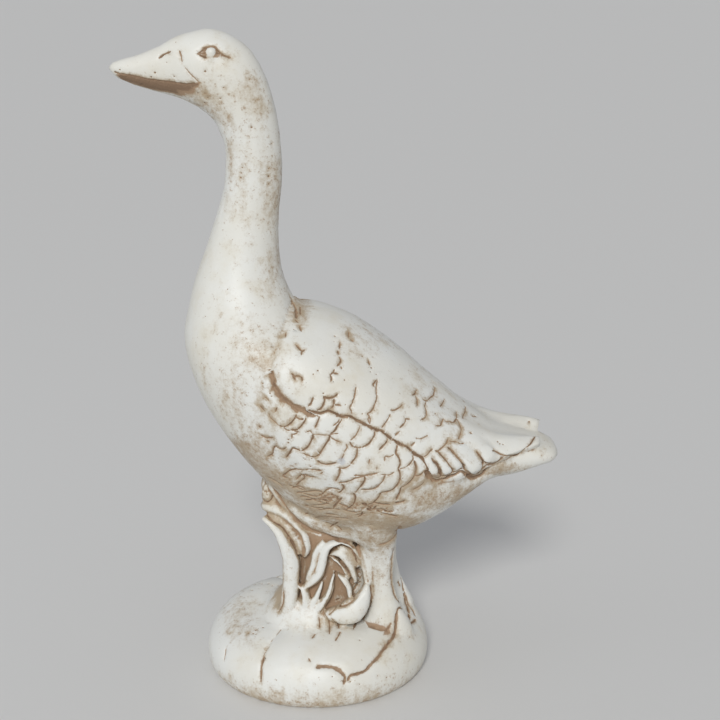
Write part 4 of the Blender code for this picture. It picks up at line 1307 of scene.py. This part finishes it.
def all_forms():
    """The bird, the foliage and the mound, before they are cast into one."""
    forms = [body_form(), mound_form(), column_form(STEM, fullness=3.0), column_form(ROOT),
             leaf_form(MIDDLE_LEAF, 1), column_form(LEG, -1),
             column_form(LEG, 1, FAR_LEG_SET_BACK), foot_form(-1, 0),
             foot_form(1, FAR_LEG_SET_BACK), eye_form(-1), eye_form(1),
             wing_form(1, 0, 0), wing_form(-1, FAR_TIP_REACH, FAR_TIP_RISE)]
    for leaf in SIDE_LEAVES:
        forms += [leaf_form(leaf, 1), leaf_form(leaf, -1)]
    blank = mesh_of("blank", forms)
    tree = surface_tree(blank)
    for side in (-1, 1):
        forms += quill_forms(tree, side)
    bpy.data.objects.remove(blank)
    return forms


def cast_skin(forms, sizes):
    """One closed skin around all forms, a little smoothed."""
    skin = mesh_of(CASTING, forms)
    cast = skin.modifiers.new("cast", "REMESH")
    cast.mode = "VOXEL"
    cast.voxel_size = sizes.voxel
    cast.use_smooth_shade = True
    soften = skin.modifiers.new("soften", "SMOOTH")
    soften.factor = 0.5
    soften.iterations = sizes.smoothing
    keep_result(skin)
    return skin


def carvings(skin, sizes):
    """Everything that is carved into a skin: the runs of its broad and of its fine lines."""
    tree = surface_tree(skin)
    broad = []
    fine = pore_runs(skin, sizes.pores)
    for side in (-1, 1):
        broad += drawn(tree, BROAD_SIDE_LINES, on_side, side)
        broad += drawn(tree, BROAD_TOP_LINES, on_top, -side)
        fine += drawn(tree, FINE_SIDE_LINES, on_side, side)
        fine += drawn(tree, FINE_TOP_LINES, on_top, -side)
        fine += pits(tree, PITS, on_side, side)
        fine += pits(tree, MOUND_PITS, on_top, -side)
    return broad, fine


def refine_near(skin, runs):
    """Note how far a skin's points are from the lines, and make it finer along them."""
    every = lines_object("all_lines", runs)
    run_tree(skin, near_tree(), Lines=every)
    bpy.data.objects.remove(every)
    refine(skin.data, LINE_REACH)


def note_wash_and_shade(skin):
    """Note the wash, partly painted shade, and the roughness that lie outside the carved lines.
    """
    low = positions(skin.data)[:, 2] < MOUND_STAINS_TOP * MM
    washes = (soft_cover(skin.data, WASH_STAINS_AND_SHADE) * 0.62, washed_and_shaded(skin.data, WASH_AND_SHADE_AREAS),
              soft_cover(skin.data, MOUND_STAINS, 1) * low, recessed(skin.data) * 0.58)
    note(skin.data, "wash", np.max(washes, axis=0))
    note(skin.data, "halo", np.zeros(len(skin.data.vertices)))
    note(skin.data, "rough", soft_cover(skin.data, ROUGH_PATCHES))


def clean_eyes(skin):
    """Take the wash off the balls of the eyes."""
    places = positions(skin.data) / MM
    x, y, z = EYE_PLACE
    away = np.hypot(np.hypot(places[:, 0] - x, np.abs(places[:, 1]) - y - 1), places[:, 2] - z)
    note(skin.data, "wash", numbers(skin.data, "wash")
         * smooth_step(EYE_RADIUS - 1.3, EYE_RADIUS - 0.1, away))


def lighten(skin, sizes, stone):
    """Thin a skin out, least near its lines, then give it its notes again and its stone."""
    fine_skin = placed("fine_skin", skin.data.copy())
    close = ((numbers(skin.data, "near") < LINE_REACH)
             | (numbers(skin.data, "rough") > ROUGH_ENOUGH))
    freedom = skin.vertex_groups.new(name="freedom")
    freedom.add(np.flatnonzero(~close).tolist(), 1.0, "REPLACE")
    freedom.add(np.flatnonzero(close).tolist(), 0.1, "REPLACE")
    thin = skin.modifiers.new("lighten", "DECIMATE")
    skin.data.calc_loop_triangles()
    thin.ratio = min(1.0, sizes.triangles / len(skin.data.loop_triangles))
    thin.vertex_group = freedom.name
    thin.vertex_group_factor = sizes.line_care
    keep_result(skin)
    run_tree(skin, transfer_tree(), Fine=fine_skin, Stone=stone)
    bpy.data.objects.remove(fine_skin)


# ---------------------------------------------------------------------------------------
# Steps of the stage

def stand_camera(stage):
    """The camera, looking down at the goose."""
    data = bpy.data.cameras.new("camera")
    data.sensor_width = 36.0
    data.lens = stage.lens
    camera = placed("camera", data)
    camera.location = stage.place
    camera.rotation_euler = Euler((np.pi / 2 - stage.pitch, 0, 0))
    bpy.context.scene.camera = camera


def hang_light(name, kind, place, size, power, tint):
    """One lamp that points at the goose: a sun's size is its angle."""
    data = bpy.data.lights.new(name, kind)
    data.energy = power
    data.color = tint
    setattr(data, "angle" if kind == "SUN" else "size", size)
    light = placed(name, data)
    light.location = place
    light.rotation_euler = (LIT_PLACE - light.location).to_track_quat("-Z", "Y").to_euler()


def light_the_room(strength):
    """Even, slightly cool light from all around."""
    world = bpy.data.worlds.new("studio")
    world.use_nodes = True
    background = world.node_tree.nodes["Background"]
    background.inputs["Color"].default_value = (0.93, 0.95, 1.0, 1.0)
    background.inputs["Strength"].default_value = strength
    bpy.context.scene.world = world


def lay_floor():
    """A plain pale floor."""
    mesh = bpy.data.meshes.new("floor")
    corners = ((-1, -1), (1, -1), (1, 1), (-1, 1))
    mesh.from_pydata([(FLOOR_REACH * x, FLOOR_REACH * y, 0) for x, y in corners], [],
                     [(0, 1, 2, 3)])
    pale = bpy.data.materials.new("pale_floor")
    pale.use_nodes = True
    shader = pale.node_tree.nodes["Principled BSDF"]
    shader.inputs["Base Color"].default_value = (0.7, 0.7, 0.69, 1.0)
    shader.inputs["Roughness"].default_value = 0.8
    mesh.materials.append(pale)
    placed("floor", mesh)


# ---------------------------------------------------------------------------------------
# Settings and operators

class GooseSizes(bpy.types.PropertyGroup):
    """How finely the casting is made."""
    voxel: bpy.props.FloatProperty(
        name="Cast detail", description="Size of the smallest detail that is cast",
        default=0.0013, min=0.0008, max=0.01, unit="LENGTH", subtype="DISTANCE")
    smoothing: bpy.props.IntProperty(
        name="Smoothing", description="How often the cast skin is smoothed", default=3, min=0)
    pores: bpy.props.FloatProperty(
        name="Pores", description="How many pores there are to the square metre",
        default=650.0, min=0.0)
    line_care: bpy.props.FloatProperty(
        name="Line care", description="How far thinning the skin spares the carved lines",
        default=0.02, min=0.0)
    triangles: bpy.props.IntProperty(
        name="Triangles", description="How many triangles the finished skin has",
        default=192000, min=1000)


class GooseFinish(bpy.types.PropertyGroup):
    """How the stone looks."""
    wash_strength: bpy.props.FloatProperty(
        name="Wash", description="How strongly the brown wash covers the hollows",
        default=0.9, min=0.0, max=1.0, subtype="FACTOR")
    roughness: bpy.props.FloatProperty(
        name="Roughness", description="Roughness of the sealed cream stone",
        default=0.46, min=0.0, max=1.0, subtype="FACTOR")
    bump: bpy.props.FloatProperty(
        name="Grain", description="How strongly the stone's grain shows",
        default=0.55, min=0.0, max=1.0, subtype="FACTOR")


class GooseStage(bpy.types.PropertyGroup):
    """Camera and light."""
    lens: bpy.props.FloatProperty(
        name="Lens", description="Focal length in millimetres", default=62.65, min=1.0)
    pitch: bpy.props.FloatProperty(
        name="Pitch", description="How far the camera looks down",
        default=float(np.radians(16.5)), subtype="ANGLE", unit="ROTATION")
    place: bpy.props.FloatVectorProperty(
        name="Camera", description="Where the camera stands",
        default=(0.0493, -1.326, 0.759), subtype="TRANSLATION", unit="LENGTH")
    brightness: bpy.props.FloatProperty(
        name="Brightness", description="Strength of all lights", default=1.0, min=0.0)


class OBJECT_OT_goose_casting(bpy.types.Operator):
    """Cast the goose, its foliage and its mound as one carved skin"""
    bl_idname = "object.goose_casting"
    bl_label = "Cast the goose"

    def execute(self, context):
        sizes = context.scene.goose_sizes
        stone = stone_material(context.scene.goose_finish)
        skin = cast_skin(all_forms(), sizes)
        broad, fine = carvings(skin, sizes)
        refine_near(skin, broad + fine)
        note_wash_and_shade(skin)
        run_tree(skin, roughen_tree())
        carve = carve_tree()
        for name, runs in (("broad_lines", broad), ("fine_lines", fine)):
            lines = lines_object(name, runs)
            run_tree(skin, carve, Lines=lines)
            bpy.data.objects.remove(lines)
        clean_eyes(skin)
        run_tree(skin, hollow_tree())
        lighten(skin, sizes, stone)
        note(skin.data, "tan", soft_cover(skin.data, TAN_STAINS_AND_SHADE))
        note(skin.data, "leafy", among_leaves(skin.data))
        note(skin.data, "grey", soft_cover(skin.data, (GREY_STAIN,)))
        skin.data.shade_smooth()
        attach(skin, "root")
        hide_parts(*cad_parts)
        return {"FINISHED"}


class OBJECT_OT_goose_stage(bpy.types.Operator):
    """Set the camera, the light and a pale floor"""
    bl_idname = "object.goose_stage"
    bl_label = "Set the stage"

    def execute(self, context):
        stage = context.scene.goose_stage
        stand_camera(stage)
        context.scene.view_settings.view_transform = "Standard"
        hang_light("key_light", "SUN", (-0.16, -1.45, 1.35), 0.26, 1.84 * stage.brightness,
                   (1.0, 0.985, 0.955))
        hang_light("side_light", "AREA", (-1.9, -0.5, 0.9), 1.0, 2.5 * stage.brightness,
                   (0.86, 0.93, 1.0))
        light_the_room(0.39 * stage.brightness)
        lay_floor()
        return {"FINISHED"}


class VIEW3D_PT_goose(bpy.types.Panel):
    """The goose's settings and steps"""
    bl_idname = "VIEW3D_PT_goose"
    bl_label = "Cast-stone goose"
    bl_space_type = "VIEW_3D"
    bl_region_type = "UI"
    bl_category = "Goose"

    def draw(self, context):
        for group in (context.scene.goose_sizes, context.scene.goose_finish,
                      context.scene.goose_stage):
            for name in group.__annotations__:
                self.layout.prop(group, name)
        for step in STEPS:
            self.layout.operator(step.bl_idname)


STEPS = (OBJECT_OT_goose_stage, OBJECT_OT_goose_casting)
CLASSES = (GooseSizes, GooseFinish, GooseStage) + STEPS + (VIEW3D_PT_goose,)


def register():
    """Make the settings, steps and panel known."""
    for kind in CLASSES:
        bpy.utils.register_class(kind)
    bpy.types.Scene.goose_sizes = bpy.props.PointerProperty(type=GooseSizes)
    bpy.types.Scene.goose_finish = bpy.props.PointerProperty(type=GooseFinish)
    bpy.types.Scene.goose_stage = bpy.props.PointerProperty(type=GooseStage)


def unregister():
    """Take them away again."""
    del bpy.types.Scene.goose_stage
    del bpy.types.Scene.goose_finish
    del bpy.types.Scene.goose_sizes
    for kind in reversed(CLASSES):
        bpy.utils.unregister_class(kind)


def main():
    """Build everything."""
    register()
    bpy.ops.object.goose_stage()
    bpy.ops.object.goose_casting()


if __name__ == "__main__":
    main()
